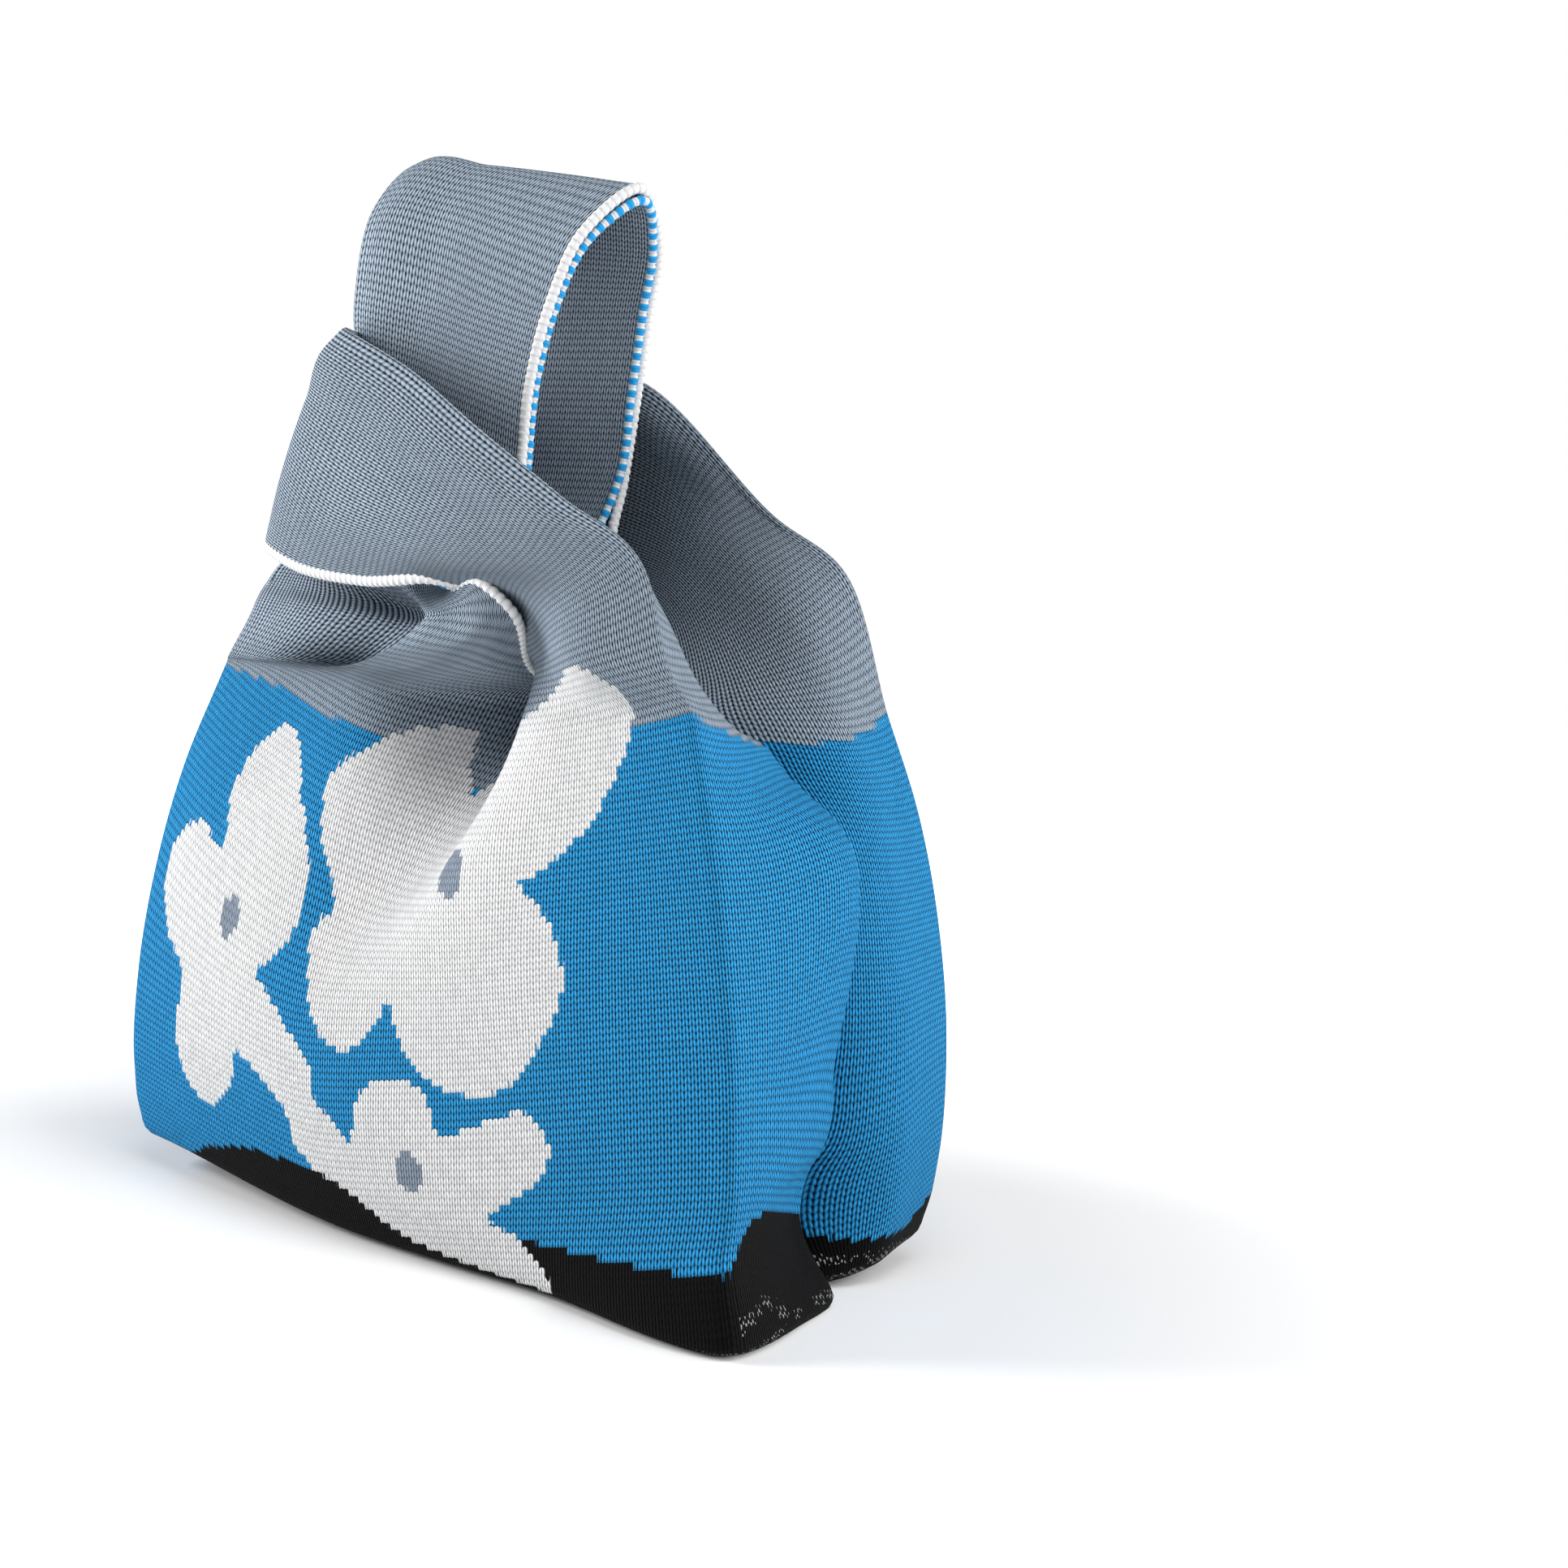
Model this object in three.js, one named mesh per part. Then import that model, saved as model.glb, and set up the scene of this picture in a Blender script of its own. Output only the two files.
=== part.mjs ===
import * as THREE from 'three';

// Knitted knot bag that hangs from the wrist, in millimetres, +Z up, front towards -Y.
// The origin is the middle of the base, on the surface that the bag stands on.
// Two side straps of unequal length close it: the long one is drawn up through the short one.

// Driving dimensions
const bagWidth = 219;          // across the fold lines, at the widest height
const bagDepth = 112;          // front fold line to back fold line
const baseHeight = 26;         // top of the dark base band
const neckHeight = 154;        // fold lines where the straps begin
const loopHeight = 311;        // top of the wrist loop
const fabric = 2.4;            // double knit, one layer
const gap = 0.3;               // between neighbouring pieces
const layerSpace = 1.8;        // air between the two layers of a strap
const panelBulge = 16;         // how far the panels swell past the fold lines
const gussetBulge = 5;         // the same for the gussets
const pleatDepth = 15;         // how far a gusset folds in along its middle
const pleatWidth = 13;         // half width of that fold
const pleatDip = 10;           // drop of a gusset's top edge at its fold
const neckDent = 20;           // how far the front is drawn in at the neck
const neckDip = 3;             // drop of a panel's top edge in its middle
const cornerOut = 10;          // how far the right front corner spreads on the floor
const cornerForward = 5;       // the same towards the front
const neckSlit = 8;            // opening between the straps at the bottom of the neck
const pleatSlit = 5;           // the same where a gusset parts into its straps
const edgeRadius = 1.3;        // chain edge along the selvedges
const edgeGap = 0.5;           // between that edge and its selvedge
const rootRise = 2.2;          // the edge's lowest part above the bottom of its slit
const bottomDrop = 0.3;        // the edge hangs this much lower in the middle of its slit
const foldStart = 0.55;        // share of the body's run where a panel's neck fold fades out
const foldSlant = 0.4;         // its way aside down to there, as a share of the half width
const foldLeft = 0.34;         // its width to the left, the same share
const foldRight = 0.2;         // its width to the right
const backFold = 0.5;          // the back's neck fold as a share of the front's
const endSwell = 0.6;          // share of the panels' bulge left at the base and at the neck
const endPleat = 0.45;         // share of a gusset's fold left at its ends
const middlePleat = 1.3;       // the same share at half height
const gussetStart = 0.3;       // share of the body's run over which a gusset takes its shape
const cornerOnFront = 0.45;    // where the corner's spread begins on the front
const cornerOnSide = -0.2;     // where it ends on the gusset
const seamHeight = 5;          // linking seam that stands up inside the base
const seamThickness = 4;
const seamLength = 172;

// Steps of the meshes
const panelSteps = 16;
const gussetSteps = 12;
const wallSteps = 12;
const baseSteps = 7;
const strapSteps = 16;
const stepsPerSection = 3;
const edgeSides = 6;

const halfWidth = bagWidth / 2;
const halfDepth = bagDepth / 2;
const neckShift = 0.19;        // neck bottom right of the middle, as a share of the half width

// Outline of the body from the flat base to the neck, one row a line:
// share of the half width, share of the half depth, height.
const wallHeight = neckHeight - baseHeight;
const baseRow = 3;
const bodyRows = [
  [0.93, 0.82, 0],
  [0.965, 0.9, baseHeight * 0.09],
  [0.985, 0.94, baseHeight * 0.38],
  [1, 0.97, baseHeight],
  [0.99, 1, baseHeight + wallHeight * 0.25],
  [0.93, 1, baseHeight + wallHeight * 0.55],
  [0.86, 0.965, baseHeight + wallHeight * 0.78],
  [0.772, 0.893, neckHeight],
];
const bodyLine = new THREE.CatmullRomCurve3(
  bodyRows.map(([w, d, z]) => new THREE.Vector3(w * halfWidth, d * halfDepth, z)));
const bodySpan = bodyRows.length - 1;
const underNeck = 0.94;        // share of the body's run where a strap's surface starts
const baseTop = baseRow / bodySpan;
const neckHalfWidth = bodyRows[bodySpan][0] * halfWidth;
const neckHalfDepth = bodyRows[bodySpan][1] * halfDepth;
const lastRowHeight = bodyRows[bodySpan][2] - bodyRows[bodySpan - 1][2];
const cutAtNeck = gap / lastRowHeight / bodySpan;

function bump(x, width) {
  return Math.exp(-((x / width) ** 2));
}

// Fold of a panel below the neck: it runs down and aside and fades out.
function neckFold(s, t) {
  const reach = THREE.MathUtils.smoothstep(t, foldStart, 1);
  const middle = neckShift - foldSlant * (1 - reach);
  const width = s < middle ? foldLeft : foldRight;
  return neckDent * reach ** 1.5 * bump(s - middle, width);
}

// Height of a body row, which the thickness of the floor lifts inside the base.
function rowHeight(row, t, dip, inset) {
  return Math.max(row.z - dip, inset * (1 - t / baseTop));
}

// Spread of the right front corner: whole on the floor where the share is 1, none above the base.
function cornerSpread(row, share) {
  return share * (1 - THREE.MathUtils.smoothstep(row.z, 0, baseHeight));
}

// Front (side -1) or back (side 1) panel at s from fold line to fold line and t up the body.
function panelPoint(side, s, t, inset) {
  const row = bodyLine.getPoint(t);
  const fullness = THREE.MathUtils.lerp(endSwell, 1, Math.sin(Math.PI * t));
  const swell = panelBulge * fullness * (1 - s * s);
  const dent = side < 0 ? neckFold(s, t) : backFold * neckFold(-s, t);
  const depth = row.y - inset + swell - dent;
  const dip = neckDip * t ** 6 * (1 - s * s);
  const onFront = THREE.MathUtils.smoothstep(s, cornerOnFront, 1);
  const spread = cornerSpread(row, side < 0 ? onFront : 0);
  return new THREE.Vector3(s * (row.x - inset) + cornerOut * spread,
    side * depth - cornerForward * spread, rowHeight(row, t, dip, inset));
}

// Left (side -1) or right (side 1) gusset at q from the front to the back fold line.
function gussetPoint(side, q, t, inset) {
  const row = bodyLine.getPoint(t);
  const shown = THREE.MathUtils.smoothstep(t, 0, gussetStart) * (1 - q * q);
  const depth = THREE.MathUtils.lerp(endPleat, middlePleat, Math.sin(Math.PI * t) ** 0.5);
  const fold = pleatDepth * depth;
  const out = gussetBulge * shown - fold * shown * bump(q * halfDepth, pleatWidth);
  const dip = pleatDip * t ** 4 * (1 - q * q);
  const onSide = 1 - THREE.MathUtils.smoothstep(q, -1, cornerOnSide);
  const spread = cornerSpread(row, side > 0 ? onSide : 0);
  return new THREE.Vector3(side * (row.x - inset + out) + cornerOut * spread,
    q * (row.y - inset) - cornerForward * spread, rowHeight(row, t, dip, inset));
}

// Geometry from a list of points and triangles, turned so that its faces point out.
function facingOut(points, faces) {
  let volume = 0;
  for (let i = 0; i < faces.length; i += 3) {
    const [a, b, c] = [points[faces[i]], points[faces[i + 1]], points[faces[i + 2]]];
    volume += a.dot(b.clone().cross(c));
  }
  if (volume < 0) faces.reverse();
  const geometry = new THREE.BufferGeometry().setFromPoints(points);
  geometry.setIndex(faces);
  geometry.computeVertexNormals();
  return geometry;
}

// Closed sheet from two grids of points with the same rows and columns.
function closedSheet(outer, inner) {
  const rows = outer.length;
  const columns = outer[0].length;
  const under = rows * columns;
  const faces = [];
  const quad = (a, b, c, d) => faces.push(a, b, c, a, c, d);
  for (let i = 0; i < rows - 1; i++) {
    for (let j = 0; j < columns - 1; j++) {
      const k = i * columns + j;
      quad(k, k + 1, k + columns + 1, k + columns);
      quad(under + k, under + k + columns, under + k + columns + 1, under + k + 1);
    }
  }
  for (let j = 0; j < columns - 1; j++) {
    const last = (rows - 1) * columns + j;
    quad(j, under + j, under + j + 1, j + 1);
    quad(last, last + 1, under + last + 1, under + last);
  }
  for (let i = 0; i < rows - 1; i++) {
    const first = i * columns;
    const end = first + columns - 1;
    quad(first, first + columns, under + first + columns, under + first);
    quad(end, under + end, under + end + columns, end + columns);
  }
  return facingOut([...outer.flat(), ...inner.flat()], faces);
}

function grid(rows, columns, pointAt) {
  return Array.from({ length: rows + 1 }, (_, i) =>
    Array.from({ length: columns + 1 }, (_, j) => pointAt(i / rows, j / columns)));
}

// Wall of the body above the base: the same formula with and without the fabric's inset.
// The trim keeps a gusset clear of the panels that it meets in a mitre at the fold lines.
function wall(pointOf, side, steps, trim) {
  const low = baseTop + cutAtNeck;
  const high = 1 - 2 * cutAtNeck;
  const span = (inset) => grid(wallSteps, steps, (i, j) =>
    pointOf(side, (2 * j - 1) * (1 - trim), THREE.MathUtils.lerp(low, high, i), inset));
  return closedSheet(span(0), span(fabric));
}

// The base is a shallow cup with the outline of the walls, closed by a flat floor.
function baseCup() {
  const sides = [
    [panelSteps, (j, t, inset) => panelPoint(-1, 2 * j - 1, t, inset)],
    [gussetSteps, (j, t, inset) => gussetPoint(1, 2 * j - 1, t, inset)],
    [panelSteps, (j, t, inset) => panelPoint(1, 1 - 2 * j, t, inset)],
    [gussetSteps, (j, t, inset) => gussetPoint(-1, 1 - 2 * j, t, inset)],
  ];
  const ring = (t, inset) => sides.flatMap(([steps, pointAt]) =>
    Array.from({ length: steps }, (_, j) => pointAt(j / steps, t, inset)));
  const high = baseTop - cutAtNeck;
  const skin = (inset) => Array.from({ length: baseSteps + 1 }, (_, i) =>
    ring(high * i / baseSteps, inset));
  const outer = skin(0);
  const inner = skin(fabric);
  const around = outer[0].length;
  const under = outer.length * around;
  const top = baseSteps * around;
  const faces = [];
  for (let j = 0; j < around; j++) {
    const next = (j + 1) % around;
    for (let i = 0; i < baseSteps; i++) {
      const a = i * around + j;
      const b = i * around + next;
      faces.push(a, b, b + around, a, b + around, a + around);
      faces.push(under + a, under + b + around, under + b);
      faces.push(under + a, under + a + around, under + b + around);
    }
    const [a, b] = [top + j, top + next];
    faces.push(a, b, under + b, a, under + b, under + a);
    faces.push(2 * under, next, j, 2 * under + 1, under + j, under + next);
  }
  const middles = [new THREE.Vector3(0, 0, 0), new THREE.Vector3(0, 0, fabric)];
  return facingOut([...outer.flat(), ...inner.flat(), ...middles], faces);
}

// Linking seam that closes the base: a low rib along the floor, inside.
function bottomSeam() {
  const profile = new THREE.Shape();
  const half = seamThickness / 2;
  profile.moveTo(-half, 0);
  profile.lineTo(half, 0);
  profile.lineTo(half, seamHeight - half);
  profile.absarc(0, seamHeight - half, half, 0, Math.PI);
  const rib = new THREE.ExtrudeGeometry(profile, {
    depth: seamLength, bevelEnabled: false, curveSegments: 5 });
  rib.rotateX(Math.PI / 2).rotateZ(Math.PI / 2);
  rib.translate(-seamLength / 2, 0, fabric + gap);
  return rib;
}

// A place above the neck: shares of the half width, the half depth and the loop's rise.
function place(x, y, rise) {
  return new THREE.Vector3(
    x * halfWidth, y * halfDepth, neckHeight + rise * (loopHeight - neckHeight));
}

// A strap is a run of sections. Each has four points on the outer layer, from its selvedge
// to the fold line, and three on the inner layer, back to that layer's selvedge.
// Where a strap leaves the body, its section is the body's own top edge.
function bodySection(front, side, t) {
  const start = (front < 0 ? neckShift : 0) + side * neckSlit / 2 / neckHalfWidth;
  const stop = pleatSlit / 2 / neckHalfDepth;
  const outer = [0, 0.33, 0.67, 1].map((k) =>
    panelPoint(front, THREE.MathUtils.lerp(start, side, k), t, 0));
  const inner = [0.33, 0.67, 1].map((k) =>
    gussetPoint(side, front * THREE.MathUtils.lerp(1, stop, k), t, 0));
  return [...outer, ...inner];
}

// Section near the root, where the two layers still stand apart.
function opened(points) {
  return points.map((p) => place(...p));
}

// Section with the inner layer lying along the outer one, on the side that inward points to.
function folded(points, inward) {
  const outer = points.map((p) => place(...p));
  const shift = new THREE.Vector3(...inward).normalize().multiplyScalar(2 * fabric + layerSpace);
  const inner = [2, 1, 0].map((k) => outer[k].clone().add(shift));
  return [...outer, ...inner];
}

// Long strap, from the front left of the neck up through the short strap and down at the back.
const longSections = [
  bodySection(-1, -1, underNeck),
  bodySection(-1, -1, 1),
  opened([[0.29, -1.07, 0.06], [-0.06, -1.16, 0.05], [-0.4, -1.1, 0.06], [-0.69, -0.84, 0.07],
    [-0.68, -0.55, 0.05], [-0.6, -0.3, 0.04], [-0.5, -0.14, 0.02]]),
  opened([[0.06, -0.74, 0.15], [-0.14, -0.76, 0.15], [-0.34, -0.72, 0.155], [-0.54, -0.58, 0.17],
    [-0.46, -0.44, 0.15], [-0.34, -0.38, 0.13], [-0.2, -0.34, 0.12]]),
  folded([[0.0, -0.48, 0.28], [-0.2, -0.51, 0.28], [-0.4, -0.49, 0.29], [-0.58, -0.42, 0.3]],
    [0, 1, 0.1]),
  folded([[-0.05, -0.2, 0.39], [-0.26, -0.25, 0.4], [-0.47, -0.28, 0.4], [-0.63, -0.28, 0.41]],
    [-0.1, 1, 0]),
  folded([[0, -0.12, 0.56], [-0.22, -0.18, 0.56], [-0.45, -0.22, 0.56], [-0.635, -0.23, 0.57]],
    [-0.12, 1, 0]),
  folded([[0.03, -0.06, 0.715], [-0.2, -0.12, 0.715], [-0.43, -0.18, 0.715], [-0.64, -0.2, 0.715]],
    [-0.1, 1, 0]),
  folded([[0.05, 0.04, 0.84], [-0.19, -0.02, 0.86], [-0.42, -0.08, 0.89], [-0.65, -0.12, 0.92]],
    [-0.1, 1, -0.6]),
  folded([[0.05, 0.32, 0.92], [-0.17, 0.27, 0.945], [-0.39, 0.2, 0.968], [-0.62, 0.14, 0.985]],
    [0.1, 0.1, -1]),
  folded([[0.02, 0.6, 0.85], [-0.2, 0.55, 0.87], [-0.42, 0.5, 0.9], [-0.64, 0.45, 0.92]],
    [0.1, -1, -0.6]),
  folded([[-0.03, 0.72, 0.715], [-0.24, 0.67, 0.715], [-0.46, 0.62, 0.715], [-0.68, 0.57, 0.715]],
    [0.12, -1, 0]),
  folded([[-0.06, 0.75, 0.56], [-0.27, 0.7, 0.56], [-0.48, 0.65, 0.56], [-0.69, 0.6, 0.57]],
    [0.12, -1, 0]),
  folded([[-0.08, 0.74, 0.4], [-0.29, 0.7, 0.4], [-0.49, 0.65, 0.4], [-0.67, 0.58, 0.41]],
    [0.1, -1, 0]),
  opened([[-0.1, 0.68, 0.27], [-0.27, 0.72, 0.27], [-0.44, 0.7, 0.28], [-0.6, 0.62, 0.29],
    [-0.46, 0.55, 0.27], [-0.3, 0.53, 0.26], [-0.14, 0.52, 0.25]]),
  opened([[-0.12, 0.72, 0.13], [-0.28, 0.84, 0.14], [-0.44, 0.84, 0.15], [-0.59, 0.72, 0.17],
    [-0.51, 0.5, 0.14], [-0.4, 0.36, 0.1], [-0.28, 0.26, 0.08]]),
  bodySection(1, -1, 1),
  bodySection(1, -1, underNeck),
];

// Short strap, from the front right of the neck round the long strap and down at the back.
const shortSections = [
  bodySection(-1, 1, underNeck),
  bodySection(-1, 1, 1),
  opened([[0.19, -0.68, 0.07], [0.34, -0.9, 0.07], [0.53, -1.16, 0.07], [0.69, -0.88, 0.075],
    [0.68, -0.55, 0.05], [0.6, -0.3, 0.03], [0.5, -0.14, 0.01]]),
  opened([[0.22, -0.98, 0.145], [0.34, -1.06, 0.165], [0.47, -1.04, 0.2], [0.57, -0.82, 0.24],
    [0.52, -0.6, 0.17], [0.42, -0.55, 0.13], [0.32, -0.6, 0.11]]),
  folded([[0.03, -1.12, 0.165], [0.12, -1.12, 0.21], [0.23, -1.02, 0.265], [0.31, -0.84, 0.34]],
    [0, 1, -0.1]),
  folded([[-0.2, -1.05, 0.175], [-0.14, -1.04, 0.25], [-0.07, -0.93, 0.35], [0.0, -0.76, 0.45]],
    [0, 1, -0.1]),
  folded([[-0.46, -0.96, 0.185], [-0.42, -0.92, 0.29], [-0.36, -0.81, 0.43], [-0.3, -0.63, 0.56]],
    [0, 1, 0]),
  folded([[-0.71, -0.76, 0.22], [-0.69, -0.72, 0.35], [-0.66, -0.63, 0.5], [-0.61, -0.5, 0.645]],
    [0.6, 1, 0]),
  folded([[-0.84, -0.24, 0.23], [-0.8, -0.2, 0.36], [-0.76, -0.16, 0.51], [-0.735, -0.12, 0.65]],
    [1, 0, 0]),
  folded([[-0.84, 0.56, 0.23], [-0.82, 0.6, 0.36], [-0.79, 0.66, 0.49], [-0.76, 0.7, 0.62]],
    [1, -0.4, 0]),
  folded([[-0.62, 1.06, 0.22], [-0.6, 1.07, 0.34], [-0.58, 1.04, 0.47], [-0.56, 0.98, 0.6]],
    [0.2, -1, 0]),
  folded([[-0.23, 1.12, 0.17], [-0.19, 1.14, 0.29], [-0.15, 1.09, 0.43], [-0.11, 0.98, 0.56]],
    [0, -1, 0]),
  opened([[0.06, 1.06, 0.12], [0.13, 1.1, 0.21], [0.21, 1.04, 0.32], [0.29, 0.9, 0.41],
    [0.27, 0.78, 0.3], [0.23, 0.7, 0.21], [0.18, 0.64, 0.12]]),
  opened([[0.07, 1.02, 0.06], [0.22, 1.12, 0.11], [0.4, 1.07, 0.18], [0.54, 0.84, 0.25],
    [0.57, 0.6, 0.17], [0.54, 0.4, 0.09], [0.48, 0.16, 0.03]]),
  bodySection(1, 1, 1),
  bodySection(1, 1, underNeck),
];

// Smooth surface through all sections: at(k, j) is the point at section k and share j across.
function strapSurface(sections) {
  const last = sections.length - 1;
  const columns = Array.from({ length: strapSteps + 1 }, (_, j) =>
    new THREE.CatmullRomCurve3(sections.map((points) =>
      new THREE.CatmullRomCurve3(points).getPoint(j / strapSteps))));
  return (k, j) => columns[j].getPoint(k / last);
}

const sectionStep = 0.01;      // in parts of a section, for the slopes of a strap
const endStep = 0.02;          // a piece's ends stay this far short of its sections

// Normal of a strap at section k and column j.
function strapNormal(surface, k, j) {
  const along = surface(k + sectionStep, j).sub(surface(k - sectionStep, j));
  const across = surface(k, Math.min(j + 1, strapSteps)).sub(surface(k, Math.max(j - 1, 0)));
  return along.cross(across).normalize();
}

// Sections at which the rows of a strap's mesh lie, between two sections.
function strapRows(from, to) {
  const rows = Math.round((to - from) * stepsPerSection);
  return Array.from({ length: rows + 1 }, (_, i) =>
    THREE.MathUtils.lerp(from + endStep, to - endStep, i / rows));
}

// Piece of a strap between two sections, a folded sheet one layer thick.
// The turn is 1 or -1, whichever side of the surface is the inside of the fold.
function strapPiece({ surface, turn }, from, to) {
  const sheet = (inset) => strapRows(from, to).map((k) =>
    Array.from({ length: strapSteps + 1 }, (_, j) =>
      surface(k, j).addScaledVector(strapNormal(surface, k, j), turn * inset)));
  return closedSheet(sheet(0), sheet(fabric));
}

// Stations of the chain edge beside one selvedge: its middle, the way out of the fabric
// and the way through it.
function selvedge({ surface, turn }, column, from, to) {
  const next = column === 0 ? 1 : strapSteps - 1;
  return strapRows(from, to).map((k) => {
    const edge = surface(k, column);
    const out = edge.clone().sub(surface(k, next)).normalize();
    const through = strapNormal(surface, k, column).multiplyScalar(turn);
    const middle = edge.addScaledVector(out, edgeRadius + edgeGap)
      .addScaledVector(through, fabric / 2);
    return { middle, out, through };
  });
}

// The same from a strap's root upwards, lifted clear of the body at its lower end.
function rootSelvedge(strap, column, rootSection, to) {
  const up = rootSection < to;
  const stations = up ? selvedge(strap, column, rootSection, to)
    : selvedge(strap, column, to, rootSection).reverse();
  const [first, second] = stations;
  const share = rootRise / first.middle.distanceTo(second.middle);
  first.middle.lerp(second.middle, share);
  return stations;
}

// Chain edge along a list of stations, a closed tube.
function chainEdge(stations) {
  const around = Array.from({ length: edgeSides }, (_, i) => 2 * Math.PI * i / edgeSides);
  const rings = stations.map(({ middle, out, through }) => around.map((angle) =>
    middle.clone().addScaledVector(out, edgeRadius * Math.cos(angle))
      .addScaledVector(through, edgeRadius * Math.sin(angle))));
  const faces = [];
  const ends = (rings.length - 1) * edgeSides;
  for (let i = 0; i < edgeSides; i++) {
    const next = (i + 1) % edgeSides;
    for (let a = 0; a < ends; a += edgeSides) {
      faces.push(a + i, a + next, a + edgeSides + next);
      faces.push(a + i, a + edgeSides + next, a + edgeSides + i);
    }
    if (i > 0 && next > 0) faces.push(0, next, i, ends, ends + i, ends + next);
  }
  return facingOut(rings.flat(), faces);
}

// Chain edge that runs down one selvedge, round the bottom of a slit and up the next one.
// The station at the bottom faces up, away from the body.
function slitEdge(down, up) {
  const [left, right] = [down[0], up[0]];
  const middle = left.middle.clone().lerp(right.middle, 0.5);
  middle.z -= bottomDrop;
  const out = new THREE.Vector3(0, 0, 1);
  const through = left.through.clone().add(right.through).normalize();
  return chainEdge([...down.reverse(), { middle, out, through }, ...up]);
}

function piece(name, geometry, color) {
  const material = new THREE.MeshStandardMaterial({ color, roughness: 0.9, metalness: 0 });
  const mesh = new THREE.Mesh(geometry, material);
  mesh.name = name;
  return mesh;
}

const slate = 0x8293a3;
const blue = 0x2f8fcb;
const black = 0x161616;
const white = 0xe8eaec;

// Sections where the moving parts of the straps begin and end.
const long = { surface: strapSurface(longSections), turn: 1 };
const short = { surface: strapSurface(shortSections), turn: -1 };
const frontRoot = 1;
const longRoot = longSections.length - 2;
const shortRoot = shortSections.length - 2;
const wrist = { from: 7, to: 11 };
const knot = { from: 4, to: 11 };
const outer = 0;
const inner = strapSteps;

const group = new THREE.Group();
group.add(
  piece('base', baseCup(), black),
  piece('bottom_seam', bottomSeam(), black),
  piece('front_panel', wall(panelPoint, -1, panelSteps, 0), blue),
  piece('back_panel', wall(panelPoint, 1, panelSteps, 0), blue),
  piece('left_gusset', wall(gussetPoint, -1, gussetSteps, 2 * gap / halfDepth), blue),
  piece('right_gusset', wall(gussetPoint, 1, gussetSteps, 2 * gap / halfDepth), blue),
  piece('long_strap_front', strapPiece(long, frontRoot, wrist.from), slate),
  piece('wrist_loop', strapPiece(long, wrist.from, wrist.to), slate),
  piece('long_strap_back', strapPiece(long, wrist.to, longRoot), slate),
  piece('short_strap_front', strapPiece(short, frontRoot, knot.from), slate),
  piece('short_loop', strapPiece(short, knot.from, knot.to), slate),
  piece('short_strap_back', strapPiece(short, knot.to, shortRoot), slate),
  piece('front_neck_edge', slitEdge(
    rootSelvedge(long, outer, frontRoot, wrist.from),
    rootSelvedge(short, outer, frontRoot, knot.from)), white),
  piece('back_neck_edge', slitEdge(
    rootSelvedge(long, outer, longRoot, wrist.to),
    rootSelvedge(short, outer, shortRoot, knot.to)), white),
  piece('left_slit_edge', slitEdge(
    rootSelvedge(long, inner, frontRoot, wrist.from),
    rootSelvedge(long, inner, longRoot, wrist.to)), blue),
  piece('right_slit_edge', slitEdge(
    rootSelvedge(short, inner, frontRoot, knot.from),
    rootSelvedge(short, inner, shortRoot, knot.to)), blue),
  piece('wrist_loop_white_edge', chainEdge(selvedge(long, outer, wrist.from, wrist.to)), white),
  piece('wrist_loop_blue_edge', chainEdge(selvedge(long, inner, wrist.from, wrist.to)), blue),
  piece('short_loop_white_edge', chainEdge(selvedge(short, outer, knot.from, knot.to)), white),
  piece('short_loop_blue_edge', chainEdge(selvedge(short, inner, knot.from, knot.to)), blue),
);

export default group;
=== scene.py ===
import math

import bpy
import numpy as np
from mathutils import Matrix, Vector


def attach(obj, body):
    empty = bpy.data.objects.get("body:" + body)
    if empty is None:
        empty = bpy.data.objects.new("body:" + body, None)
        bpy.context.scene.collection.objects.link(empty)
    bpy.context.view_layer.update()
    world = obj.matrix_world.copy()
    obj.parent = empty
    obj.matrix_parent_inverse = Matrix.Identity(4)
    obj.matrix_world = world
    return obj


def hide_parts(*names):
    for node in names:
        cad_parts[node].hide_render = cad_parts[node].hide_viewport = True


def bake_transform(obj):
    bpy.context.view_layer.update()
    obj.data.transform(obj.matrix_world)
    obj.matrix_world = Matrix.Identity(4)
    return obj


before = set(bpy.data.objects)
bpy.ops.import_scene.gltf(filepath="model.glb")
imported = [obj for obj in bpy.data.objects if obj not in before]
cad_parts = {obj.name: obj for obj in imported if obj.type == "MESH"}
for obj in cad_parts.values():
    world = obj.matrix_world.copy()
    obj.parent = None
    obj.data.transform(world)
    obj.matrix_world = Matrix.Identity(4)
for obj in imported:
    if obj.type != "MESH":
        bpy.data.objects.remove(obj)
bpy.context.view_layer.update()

# A knotted bag in one piece of knit. Sizes are millimetres until a mesh is made. X runs right
# along the front, Y from front to back, Z up. A grid holds rows of points up the wall or along
# a strap, and its (u, v) count wales and courses, so that one stitch is 1 by 1.

# Height of a stitch at the foot of the wall, at the neck and on the two straps, and how far its
# legs and the border of its colour slant, as shares of a course
stitch = {
    "lowCourse": 1.88, "neckCourse": 2.15, "longCourse": 2.05, "shortCourse": 2.3,
    "slant": 0.46, "colourSlant": 0.22,
}

# Colour of each yarn; the fourth number is how much painted shade darkens its stitches towards
# their edges and in their gaps
yarn = {
    "blue": (0.028, 0.335, 0.72, 1.0), "slate": (0.35, 0.43, 0.525, 1.0),
    "white": (0.76, 0.765, 0.775, 0.46), "black": (0.0035, 0.0035, 0.004, 0.7),
    "dot": (0.24, 0.29, 0.36, 0.5),
}

# Columns over the front and a side wall, millimetres between rows, and rounds of easing
mesh = {"frontColumns": 200, "gussetColumns": 120, "rowStep": 2.3, "easings": 2}


# The number of a yarn, its place in the dictionary
def yarnNumber(label):
    return list(yarn).index(label)


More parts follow.
